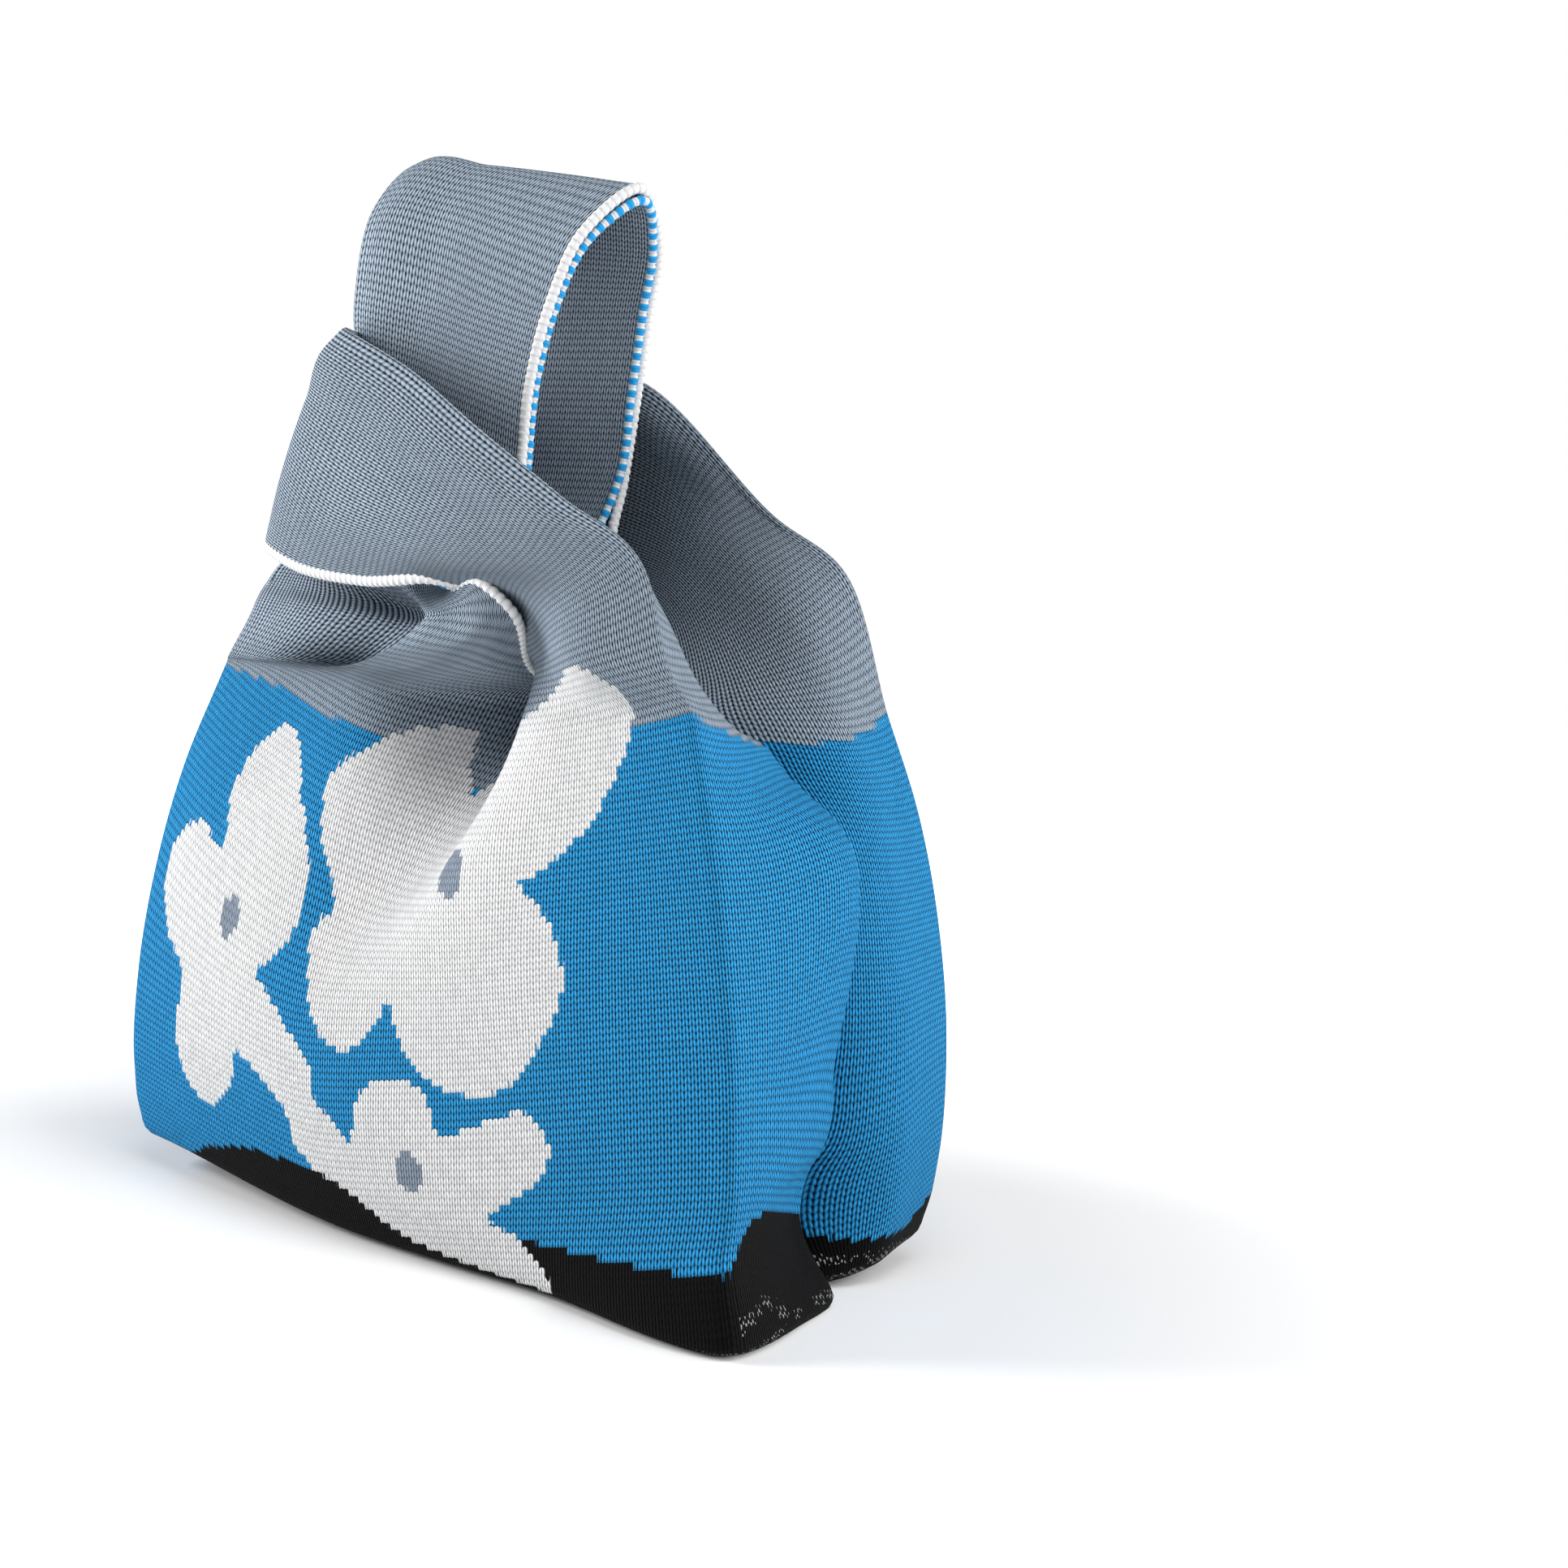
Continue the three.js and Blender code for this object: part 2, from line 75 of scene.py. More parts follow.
# 0 up to low, 1 from high on, and 3t^2 - 2t^3 between them
def smooth(x, low, high):
    t = np.clip((x - low) / (high - low), 0, 1)
    return t * t * (3 - 2 * t)


# Bell curve: e to the power of -(x / width)^2
def bump(x, width):
    return np.exp(-(x / width) ** 2)


# Hermite cubic through points[i] at knots[i]. A slope is the mean of the chords on its two sides,
# each weighted by the step of the other
def spline(points, knots, at):
    points = np.asarray(points, float)
    knots = np.asarray(knots, float)
    step = np.diff(knots)
    rest = (1,) * (points.ndim - 1)
    shape = (-1,) + rest
    chord = np.diff(points, axis=0) / step.reshape(shape)
    slope = np.empty_like(points)
    slope[0], slope[-1] = chord[0], chord[-1]
    before, after = step[:-1].reshape(shape), step[1:].reshape(shape)
    slope[1:-1] = (chord[:-1] * after + chord[1:] * before) / (before + after)
    at = np.clip(at, knots[0], knots[-1])
    i = np.clip(np.searchsorted(knots, at, side="right") - 1, 0, len(step) - 1)
    h = step[i].reshape(i.shape + rest)
    t = ((at - knots[i]) / step[i]).reshape(i.shape + rest)
    return (points[i] * (2 * t**3 - 3 * t**2 + 1) + points[i + 1] * (3 * t**2 - 2 * t**3)
            + h * slope[i] * (t**3 - 2 * t**2 + t) + h * slope[i + 1] * (t**3 - t**2))


# Unit normals of a grid of points: the cross product of its slopes along and across the rows
def gridNormals(p):
    n = np.cross(np.gradient(p, axis=1), np.gradient(p, axis=0))
    return n / np.maximum(np.linalg.norm(n, axis=2, keepdims=True), 1e-9)


# Body. The fold is the deep crease that runs down the front from the slit in the neck; its
# places and widths are shares of the half width
body = {
    "halfWidth": 109.5, "halfDepth": 56.0, "neckHeight": 154.0, "frontWales": 125,
    "swell": 16.0, "leastSwell": 0.38, "swellPower": 0.7,      # bulge of the walls
    "footSwell": 6.0, "footAt": 0.85, "footWidth": 0.26,       # more at the right front foot,
    "footTop": 0.25,                                           # and how far up that goes
    "neckShift": 0.19, "foldFrom": 0.35,         # the fold's place at the neck, and where it starts
    "foldDrift": 0.42, "foldBow": 0.09,          # how far left it starts below, and its bow
    "foldLeft": 0.32, "foldRight": 0.17,         # widths of its two slopes
    "neckDent": 32.0, "dentPower": 1.4,          # depth at the neck
    "neckPinch": 14.0, "pinchFrom": 0.72,        # and more right under it
    "foldLean": 10.0, "leanAt": 0.15, "leanWidth": 0.13,       # its right slope leans over it
    "backDent": 0.4, "backLean": 0.3,            # shares of the fold on the back
    # each ripple's size, its waves across and up, its start, and the rows over which it grows
    "ripples": [(1.5, 9, -5, 1, (0.25, 0.8)), (1.2, 5.5, 9, 0, (0.05, 0.3))],
    "neckSag": 3.0, "sagPower": 6, "rightRise": 4.0, "rightFrom": 0.2,
    "leftLift": 7.5, "rightLift": 6.0, "liftFade": 55,         # corners that hang off the floor
    "leftFrom": 0.05, "backFrom": 0.5,                         # and where their lift starts
    "cornerOut": 11, "cornerForward": 6, "spreadFade": 26,     # corner that spreads on it
    "spreadFrom": 0.45,
}

# Rows up the wall: a share of the half width, of the half depth, a height, and the length so far
bodyRows = np.array([
    (0.93, 0.82, 0), (0.965, 0.9, 2.3), (0.985, 0.94, 9.9), (1, 0.97, 26),
    (0.99, 1, 58), (0.93, 1, 96.4), (0.86, 0.965, 125.8), (0.772, 0.893, 154)])
rowKnots = np.array([0, 5, 13, 29, 61, 100, 131, 161.0])
wallLength = rowKnots[-1]


# The curve through the rows
def rowAt(length):
    return spline(bodyRows, rowKnots, length)[:, None, :]


# Lift of the left end and of the right back corner at the bottom, a smooth step of s, the share
# across, and of back, which is 0 at the front and 1 behind. It fades up the wall
def cornerLift(length, s, back):
    left = body["leftLift"] * smooth(-s, body["leftFrom"], 1)
    right = body["rightLift"] * smooth(s, body["rightFrom"], 1) * smooth(back, body["backFrom"], 1)
    return (left + right) * (1 - smooth(length, 0, body["liftFade"]))[:, None]


# Spread of the right front corner, where share is 1. It fades up the wall
def cornerSpread(length, share):
    return share * (1 - smooth(length, 0, body["spreadFade"]))[:, None]


# The fold's reach, a smooth step from 0 at foldFrom up the wall to 1 at the neck
def foldReach(t):
    return smooth(t, body["foldFrom"], 1)


# Its share across = neckShift - foldDrift (1 - reach) + foldBow sin(pi reach)
def foldPlace(t):
    reach = foldReach(t)
    return (body["neckShift"] - body["foldDrift"] * (1 - reach)
            + body["foldBow"] * np.sin(np.pi * reach))


# Front (side -1) or back wall over lengths and shares s, with d = s - the fold's place:
# x = s half width - foldLean reach bell(d - leanAt) + cornerOut spread
# y = half depth + swell (least + (1 - least) sin(pi t)^swellPower) (1 - s^2)
#     + footSwell bell(s - footAt) (1 - step(t)) - dent + ripples + cornerForward spread, where
#     dent = (neckDent reach^dentPower + neckPinch step(t)) bell(d), and
#     a ripple = size sin(wide s + tall t + start) step(t) (1 - s^2)
# z = height - neckSag t^sagPower (1 - s^2) + lift + rightRise step(s) sin(pi t)
def panelGrid(side, length, s):
    front = side < 0
    row = rowAt(length)
    t = (length / wallLength)[:, None]
    s = s[None, :]
    crown = 1 - s * s
    least = body["leastSwell"]
    swell = least + (1 - least) * np.sin(np.pi * t) ** body["swellPower"]
    swell = body["swell"] * swell * crown
    if front:
        swell = swell + (body["footSwell"] * bump(s - body["footAt"], body["footWidth"])
                         * (1 - smooth(t, 0, body["footTop"])))
    reach, middle = foldReach(t), foldPlace(t)
    width = np.where(s < middle, body["foldLeft"], body["foldRight"])
    depth = (body["neckDent"] * reach ** body["dentPower"]
             + body["neckPinch"] * smooth(t, body["pinchFrom"], 1))
    dent = depth * bump(s - middle, width) * (1 if front else body["backDent"])
    ripple = sum(size * np.sin(wide * s + tall * t + start) * smooth(t, *rows) * crown
                 for size, wide, tall, start, rows in body["ripples"])
    lean = -body["foldLean"] * reach * bump(s - middle - body["leanAt"], body["leanWidth"])
    lean = lean * (1 if front else body["backLean"])
    spread = cornerSpread(length, smooth(s, body["spreadFrom"], 1) * front)
    x = s * row[..., 0] * body["halfWidth"] + lean + body["cornerOut"] * spread
    y = side * (row[..., 1] * body["halfDepth"] + swell - dent + ripple
                + body["cornerForward"] * spread)
    z = row[..., 2] - body["neckSag"] * t ** body["sagPower"] * crown
    z = z + cornerLift(length, s, float(not front))
    z = z + body["rightRise"] * smooth(s, body["rightFrom"], 1) * np.sin(np.pi * t)
    return np.stack(np.broadcast_arrays(x, y, z), -1)


# Side walls: a rounded nose stands out in front of a deep fold, both by height. Twelve points from
# front to back stand out by a share of the nose, less a share of the fold, and so much more
gusset = {
    "across": [0, 0.1, 0.21, 0.31, 0.38, 0.43, 0.49, 0.56, 0.64, 0.75, 0.88, 1],
    "depth": [-1, -0.72, -0.42, -0.15, 0, 0.02, 0.04, 0.09, 0.2, 0.42, 0.72, 1],
    "noseShare": [0, 0.25, 0.6, 0.95, 1, 1, 1, 1, 0.4, 0.1, 0, 0],
    "foldShare": [0, 0, 0, 0, 0, 0.5, 1, 0.85, 0.35, 0, 0, 0],
    "more": [0, 1, 1.5, 1, -1, 0, 0, 0, 0, 1.5, 1.5, 0],
    "heights": [0, 14, 27, 36, 55, 78, 99, 118, 127, 134, 142, 154.0],
    "nose": [7, -10, -11, -6, -4, 2, 7, 8, 5, 0, -5, -8.0],
    "fold": [16, 27, 27, 20, 15, 16, 17, 18, 20, 23, 26, 28.0],
    "neckDip": 10, "dipPower": 4, "noseRise": 7, "noseAt": 0.34, "noseWidth": 0.16,
    "spreadTo": 0.36,
}


# Side wall (side 1 is the right one) over lengths and shares from front to back:
# x = half width + curve(across) + cornerOut spread, y = depth(across) - cornerForward spread
# z = height - neckDip t^dipPower (1 - (2 across - 1)^2) + lift + rise sin(pi t), where rise is
# noseRise bell(across - noseAt), and rightRise more on the right
def gussetGrid(side, length, across):
    row = rowAt(length)
    nose = spline(gusset["nose"], gusset["heights"], row[:, 0, 2])
    fold = spline(gusset["fold"], gusset["heights"], row[:, 0, 2])
    curve = (np.outer(gusset["noseShare"], nose) - np.outer(gusset["foldShare"], fold)
             + np.array(gusset["more"])[:, None])
    out = spline(curve, gusset["across"], across).T
    depth = spline(gusset["depth"], gusset["across"], across)[None, :]
    across = across[None, :]
    spread = cornerSpread(length, (1 - smooth(across, 0, gusset["spreadTo"])) * (side > 0))
    x = side * (row[..., 0] * body["halfWidth"] + out + body["cornerOut"] * spread)
    y = depth * row[..., 1] * body["halfDepth"] - body["cornerForward"] * spread
    t = (length / wallLength)[:, None]
    dip = gusset["neckDip"] * t ** gusset["dipPower"] * (1 - (2 * across - 1) ** 2)
    lift = cornerLift(length, np.full(across.shape, float(side)), across)
    rise = gusset["noseRise"] * bump(across - gusset["noseAt"], gusset["noseWidth"])
    rise = rise + body["rightRise"] * (side > 0)
    lift = lift + rise * np.sin(np.pi * t)
    return np.stack(np.broadcast_arrays(x, y, row[..., 2] - dip + lift), -1)


# Ring of all four walls, from front fold line to front fold line, at each of the lengths
frontColumns, gussetColumns = mesh["frontColumns"], mesh["gussetColumns"]
around = 2 * (frontColumns + gussetColumns)
frontPlaces = np.arange(frontColumns) / frontColumns * 2 - 1
sidePlaces = np.arange(gussetColumns) / gussetColumns
wallRows = int(round(wallLength / mesh["rowStep"]))
wallLengths = np.linspace(0, wallLength, wallRows + 1)
wall = np.concatenate([
    panelGrid(-1, wallLengths, frontPlaces), gussetGrid(1, wallLengths, sidePlaces),
    panelGrid(1, wallLengths, -frontPlaces), gussetGrid(-1, wallLengths, 1 - sidePlaces)], axis=1)
for _ in range(mesh["easings"]):   # soft fold lines: columns are eased towards their neighbours
    wall = 0.25 * np.roll(wall, 2, axis=1) + 0.5 * wall + 0.25 * np.roll(wall, -2, axis=1)

# How the courses climb away from the fold, and along a side wall from the foot to the neck
courseSlope = {
    "left": 0.1, "leftNeck": 0.17, "neckRows": (0.1, 0.8), "right": 0.22, "ease": 0.1,
    "side": [-14, -13, -4.5, 3, 7.5, 8], "sideShares": [0, 0.28, 0.47, 0.68, 0.85, 1],
    "sideIn": (0, 0.4), "sideOut": (0.5, 1),
}


# Climb on the front = half width (sqrt(d^2 + ease^2) - ease) slope, d being the share from the fold
def courseClimb(t, s):
    d = s - foldPlace(t)
    ease = courseSlope["ease"]
    left = courseSlope["left"] + courseSlope["leftNeck"] * smooth(t, *courseSlope["neckRows"])
    slope = np.where(d < 0, left, courseSlope["right"])
    return body["halfWidth"] * (np.sqrt(d * d + ease * ease) - ease) * slope


# The same on all walls; a side wall adds its own climb between its two fold lines
def ringClimb(t):
    front = courseClimb(t, frontPlaces[None, :])
    back = courseClimb(t, -frontPlaces[None, :])
    more = spline(courseSlope["side"], courseSlope["sideShares"], t[:, 0])[:, None]
    more = more * (smooth(sidePlaces, *courseSlope["sideIn"])
                   - smooth(sidePlaces, *courseSlope["sideOut"]))[None, :]
    right = courseClimb(t, 1.0) + more
    left = courseClimb(t, -1.0) + more
    return np.concatenate([front, right, back, left], axis=1)


# Courses up to a length, from the floor line: their number to a millimetre goes evenly from
# 1 / lowCourse at the foot to 1 / neckCourse at the neck
def courseCount(length):
    low, high = 1 / stitch["lowCourse"], 1 / stitch["neckCourse"]
    return low * length + 0.5 * (high - low) * length * np.abs(length) / wallLength


# Underside: each ring point runs in to the line of the seam, a share of the foot's length. With
# inset going from 0 there to 1 at the wall, x = wall x (share + (1 - share) inset),
# y = wall y inset and z = rise + wall z inset^2
underside = {"rows": 12, "length": 46, "rise": 0.25, "seamShare": 0.9}
inset = (np.arange(underside["rows"]) / underside["rows"])[:, None]
narrowing = underside["seamShare"] + (1 - underside["seamShare"]) * inset
floorGrid = np.stack([
    wall[:1, :, 0] * narrowing, wall[:1, :, 1] * inset,
    underside["rise"] + wall[:1, :, 2] * inset**2], -1)
print("body grid", wall.shape, "floor grid", floorGrid.shape)

# Straps: each layer is halfWales wide, and a folded strap's layers lie fold apart. A strap
# grows out of the wall from a line under the neck
strap = {
    "rise": 157, "fold": 5.6, "halfWales": 39, "under": 8,
    "crowdAt": 0.3, "crowdWales": 10.5,          # wales that crowd near the long strap's crease,
    "crowdIn": (0, 45), "crowdOut": (60, 110),   # and the lengths over which they come and go
    "endFade": (5, 70),                          # where the wall's own courses even out
}


# A section's points, as shares of the half width, of the half depth and of the loop's rise
def place(points):
    p = np.asarray(points, float)
    return np.stack([
        p[:, 0] * body["halfWidth"], p[:, 1] * body["halfDepth"],
        body["neckHeight"] + p[:, 2] * strap["rise"]], -1)


acrossKnots = np.array([0, 24, 48, 68, 72, 76, 96, 120, 144.0])   # millimetres across both layers


# A point beside the crease, a sixth of the way to its neighbour, which keeps the crease tight
def beside(crease, neighbour):
    return crease + (neighbour - crease) / 6


# Section of seven points, the fourth at the fold line
def opened(points):
    p = place(points)
    return np.array([
        p[0], p[1], p[2], beside(p[3], p[2]), p[3], beside(p[3], p[4]), p[4], p[5], p[6]])


# Section of four points out to the fold line, and the same points back again, moved inward. The
# crease is halfway between the two layers and a little further out
def folded(points, inward):
    p = place(points)
    shift = np.array(inward, float)
    shift *= strap["fold"] / np.linalg.norm(shift)
    near = beside(p[3], p[2])
    crease = p[3] + shift / 2 + (p[3] - p[2]) / 40
    return np.array([
        p[0], p[1], p[2], near, crease, near + shift, p[2] + shift, p[1] + shift, p[0] + shift])


# Sections from the front of the neck to the back, outer layer from its selvedge to the fold line
# and the inner layer back
longSections = [
    opened([(0.2, -0.7, 0.06), (0.11, -1.14, 0.05), (-0.3, -0.98, 0.035), (-0.765, -0.84, 0.03),
            (-0.68, -0.55, 0.04), (-0.6, -0.3, 0.03), (-0.5, -0.14, 0.02)]),
    opened([(0.27, -1.0, 0.14), (0.18, -1.18, 0.095), (-0.12, -1.13, 0.075), (-0.735, -0.78, 0.095),
            (-0.63, -0.53, 0.075), (-0.54, -0.33, 0.06), (-0.43, -0.2, 0.05)]),
    opened([(0.19, -1.08, 0.19), (0.14, -1.1, 0.145), (-0.03, -1.12, 0.12), (-0.73, -0.74, 0.13),
            (-0.57, -0.5, 0.11), (-0.47, -0.36, 0.09), (-0.35, -0.26, 0.08)]),
    opened([(0.06, -0.96, 0.178), (0.0, -0.95, 0.16), (-0.13, -0.9, 0.148), (-0.72, -0.7, 0.16),
            (-0.51, -0.47, 0.135), (-0.4, -0.37, 0.12), (-0.28, -0.3, 0.11)]),
    opened([(0.04, -0.74, 0.215), (-0.08, -0.74, 0.195), (-0.28, -0.68, 0.19),
            (-0.69, -0.64, 0.205),
            (-0.46, -0.44, 0.175), (-0.34, -0.38, 0.16), (-0.2, -0.34, 0.15)]),
    folded([(0.0, -0.48, 0.28), (-0.2, -0.51, 0.28), (-0.4, -0.49, 0.29), (-0.58, -0.42, 0.3)],
           (0, 1, 0.1)),
    folded([(-0.08, -0.2, 0.39), (-0.28, -0.25, 0.4), (-0.47, -0.28, 0.4), (-0.65, -0.28, 0.41)],
           (-0.1, 1, 0)),
    folded([(-0.1, -0.12, 0.56), (-0.28, -0.18, 0.56), (-0.45, -0.22, 0.56), (-0.67, -0.23, 0.57)],
           (-0.12, 1, 0)),
    folded([(-0.07, -0.06, 0.715), (-0.26, -0.12, 0.715), (-0.44, -0.18, 0.715),
            (-0.7, -0.22, 0.715)],
           (-0.1, 1, 0)),
    folded([(-0.01, 0.04, 0.85), (-0.22, -0.02, 0.87), (-0.43, -0.09, 0.89), (-0.67, -0.18, 0.895)],
           (-0.1, 1, -0.6)),
    folded([(0.06, 0.32, 0.94), (-0.17, 0.27, 0.965), (-0.4, 0.18, 0.985), (-0.64, 0.1, 1.0)],
           (0.1, 0.1, -1)),
    folded([(0.03, 0.6, 0.86), (-0.2, 0.55, 0.88), (-0.43, 0.5, 0.905), (-0.67, 0.44, 0.92)],
           (0.1, -1, -0.6)),
    folded([(-0.03, 0.72, 0.715), (-0.24, 0.67, 0.715), (-0.46, 0.62, 0.715), (-0.68, 0.57, 0.715)],
           (0.12, -1, 0)),
    folded([(-0.06, 0.75, 0.56), (-0.27, 0.7, 0.56), (-0.48, 0.65, 0.56), (-0.69, 0.6, 0.57)],
           (0.12, -1, 0)),
    folded([(-0.08, 0.74, 0.4), (-0.29, 0.7, 0.4), (-0.49, 0.65, 0.4), (-0.67, 0.58, 0.41)],
           (0.1, -1, 0)),
    opened([(-0.08, 0.68, 0.27), (-0.27, 0.72, 0.27), (-0.44, 0.7, 0.28), (-0.6, 0.62, 0.29),
            (-0.46, 0.55, 0.27), (-0.3, 0.53, 0.26), (-0.14, 0.52, 0.25)]),
    opened([(-0.02, 0.76, 0.13), (-0.24, 0.86, 0.14), (-0.44, 0.84, 0.15), (-0.6, 0.72, 0.17),
            (-0.51, 0.5, 0.14), (-0.4, 0.36, 0.1), (-0.28, 0.26, 0.08)]),
]

shortSections = [
    opened([(0.2, -0.7, 0.07), (0.34, -0.92, 0.07), (0.53, -1.12, 0.07), (0.69, -0.9, 0.075),
            (0.66, -0.55, 0.05), (0.52, -0.32, 0.02), (0.38, -0.16, 0.0)]),
    opened([(0.21, -0.86, 0.15), (0.34, -1.03, 0.175), (0.47, -1.04, 0.2), (0.57, -0.82, 0.24),
            (0.52, -0.6, 0.18), (0.42, -0.55, 0.13), (0.32, -0.6, 0.11)]),
    folded([(0.04, -1.11, 0.19), (0.13, -1.12, 0.22), (0.23, -1.02, 0.27), (0.31, -0.84, 0.34)],
           (0, 1, 0.1)),
    folded([(-0.2, -1.07, 0.185), (-0.14, -1.04, 0.25), (-0.07, -0.93, 0.35), (0.0, -0.76, 0.45)],
           (0, 1, 0.4)),
    folded([(-0.46, -0.98, 0.2), (-0.42, -0.92, 0.29), (-0.36, -0.81, 0.43), (-0.3, -0.63, 0.56)],
           (0, 1, 0.25)),
    folded([(-0.7, -0.76, 0.24), (-0.68, -0.71, 0.37), (-0.65, -0.62, 0.51), (-0.61, -0.5, 0.645)],
           (0.6, 1, 0)),
    folded([(-0.82, -0.24, 0.25), (-0.78, -0.2, 0.37), (-0.74, -0.16, 0.51), (-0.72, -0.12, 0.65)],
           (1, 0, 0)),
    folded([(-0.84, 0.56, 0.23), (-0.82, 0.6, 0.36), (-0.79, 0.66, 0.49), (-0.76, 0.7, 0.62)],
           (1, -0.4, 0)),
    folded([(-0.62, 1.06, 0.22), (-0.6, 1.07, 0.34), (-0.58, 1.04, 0.47), (-0.56, 0.98, 0.6)],
           (0.2, -1, 0)),
    folded([(-0.23, 1.12, 0.17), (-0.19, 1.14, 0.29), (-0.15, 1.09, 0.45), (-0.11, 0.96, 0.6)],
           (0, -1, 0)),
    opened([(0.06, 1.1, 0.13), (0.13, 1.14, 0.22), (0.23, 1.07, 0.29), (0.36, 0.92, 0.352),
            (0.27, 0.8, 0.3), (0.2, 0.71, 0.21), (0.1, 0.63, 0.12)]),
    opened([(0.2, 1.04, 0.06), (0.3, 1.12, 0.12), (0.43, 1.07, 0.19), (0.59, 0.94, 0.252),
            (0.57, 0.6, 0.17), (0.47, 0.4, 0.09), (0.3, 0.18, 0.02)]),
]


# Columns of the ring where the slits part the straps, and those under each end of a strap, from
# its selvedge over the fold line to the middle of the side wall
slitColumn = int(round((1 + body["neckShift"]) * frontColumns / 4)) * 2
rightFold = frontColumns
rightFoldBack = frontColumns + gussetColumns
backSlit = rightFoldBack + (frontColumns - slitColumn)
leftFoldBack = rightFoldBack + frontColumns
half = gussetColumns // 2

longFront = np.concatenate([
    np.arange(slitColumn - 1, -1, -1), np.arange(around - 1, around - half, -1)])
longBack = np.arange(backSlit + 1, leftFoldBack + half)
shortFront = np.arange(slitColumn + 1, rightFold + half)
shortBack = np.arange(backSlit - 1, rightFold + half, -1)


# Strap from its front root through the sections to its back root. Each column is a curve through
# one point of each, its knots the median distances between them
def strapGrid(frontPart, backPart, sections, outerCount):
    count = len(frontPart)
    fold, edge = acrossKnots[4], acrossKnots[-1]
    share = np.concatenate([
        np.linspace(0, fold, outerCount), np.linspace(fold, edge, count - outerCount + 1)[1:]])
    under = int(round(strap["under"] / mesh["rowStep"]))
    through = np.stack([spline(section, acrossKnots, share) for section in sections])
    low, top = wall[-1 - under], wall[-1]
    stack = np.concatenate([
        low[None, frontPart], top[None, frontPart], through, top[None, backPart],
        low[None, backPart]])
    steps = np.linalg.norm(np.diff(stack, axis=0), axis=2)
    knots = np.concatenate([[0], np.cumsum(np.median(steps, axis=1))])
    rows = int(round((knots[-2] - knots[1]) / mesh["rowStep"]))
    return spline(stack, knots, np.linspace(knots[1], knots[-2], rows + 1))


# Hollow of the long strap under the lip: the sheet is moved by push times a bell across it, which
# fades in and out along it between the two pairs of heights
hollow = {"across": 54, "width": 6.5, "fadeIn": (10, 26), "fadeOut": (55, 75),
          "push": (3.0, 17.0, -3.0)}

longGrid = strapGrid(longFront, longBack, longSections, slitColumn)
shortGrid = strapGrid(shortFront, shortBack, shortSections, rightFold - slitColumn)
shares = np.linspace(0, acrossKnots[4], slitColumn)[None, :]
heights = (np.arange(len(longGrid)) * mesh["rowStep"])[:, None]
recess = (bump(shares - hollow["across"], hollow["width"]) * smooth(heights, *hollow["fadeIn"])
          * (1 - smooth(heights, *hollow["fadeOut"])))
longGrid[:, :slitColumn] += recess[..., None] * np.array(hollow["push"])
print("long strap", longGrid.shape, "short strap", shortGrid.shape)

# Colours. The outlines are places on the wall in steps of the mesh: two columns to the right of
# the left fold line, and one row upwards
leftFlower = [
    (22.4, 64.2), (27.2, 61.8), (31.3, 54.9), (32.6, 53.6), (36.1, 45.5), (35.6, 38.3),
    (33, 34.9), (29.8, 31.6), (26.4, 22.5), (25, 17.3), (20.6, 12.6), (16.4, 13.2), (12.8, 17.8),
    (12.1, 23.5), (12.9, 29.3), (8.2, 33.7), (5.3, 38.8), (5.2, 45.6), (10.3, 49.5), (17.7, 46.9),
    (16.2, 53.8), (17.1, 59), (20.4, 62.8)]
leftStem = [
    (26.4, 22.5), (30.7, 19.8), (36.1, 15.9), (37.3, 11.8), (42.7, 9), (47.7, 13.3), (45.2, 16.3),
    (41.9, 19.1), (41.2, 22.5), (37.3, 26.3), (29.8, 31.6)]
bigFlower = [
    (40.3, 63.4), (43.5, 65.4), (46.3, 66.1), (49.8, 65.7), (51.5, 61), (54, 57.5), (57, 61),
    (60, 63.5), (66.1, 66), (70.5, 68.5), (76.9, 73.1), (83, 76.5), (88.1, 76.3), (90.5, 72.9),
    (89.9, 69.5), (89.2, 66.7), (85.5, 59.9), (82.3, 55.5), (76.6, 50.3), (73.7, 48.6),
    (77.3, 45.4), (79.5, 40.6), (79.3, 35.2), (76.1, 30.1), (72.5, 25.8), (67.8, 23.8),
    (61.8, 23.8), (56.8, 26.8), (53.5, 32.5), (52, 29.8), (47.3, 25.7), (42.3, 27.2),
    (39.1, 34.5), (38.9, 39.7), (40.9, 42.2), (37.6, 48.7), (36, 53.9), (35.4, 58.8)]
lowFlower = [
    (55, 23.6), (59.4, 22.9), (61.8, 18.1), (65.3, 19.4), (70.6, 21.8), (74.6, 22.6), (77.3, 19),
    (75.5, 15.1), (68.8, 9.7), (73.4, 8), (77.8, 2.9), (70.7, 2.6), (60.9, 3.5), (53.2, 4.8),
    (48.2, 7.3), (41.3, 9.7), (38.6, 12.1), (43.8, 16), (47.9, 14.8), (48.9, 19.5), (51.3, 22.4)]

# Top of the black, over the front and the right side, and bottom of the slate
blackTop = [
    (0, -4), (7, -1), (12, 2.5), (17, 5), (22.2, 7), (27.8, 8.5), (41.6, 9.6), (72.3, 8.1),
    (84.4, 8.3), (98, 8.8), (100.5, 9.2), (102, 11.5), (104, 13.5), (107, 13.8), (110, 12.7),
    (116, 10.4), (122, 8.6), (128, 6.5), (134, 7.3), (140, 6), (152, 5.2), (160, 8.8)]
slateFrom = [
    (0, 70.4), (15.9, 69.2), (31, 66.2), (40, 64.4), (53, 58), (63, 58), (72, 66), (90.2, 68.6),
    (98.2, 70.5), (160, 70.5)]

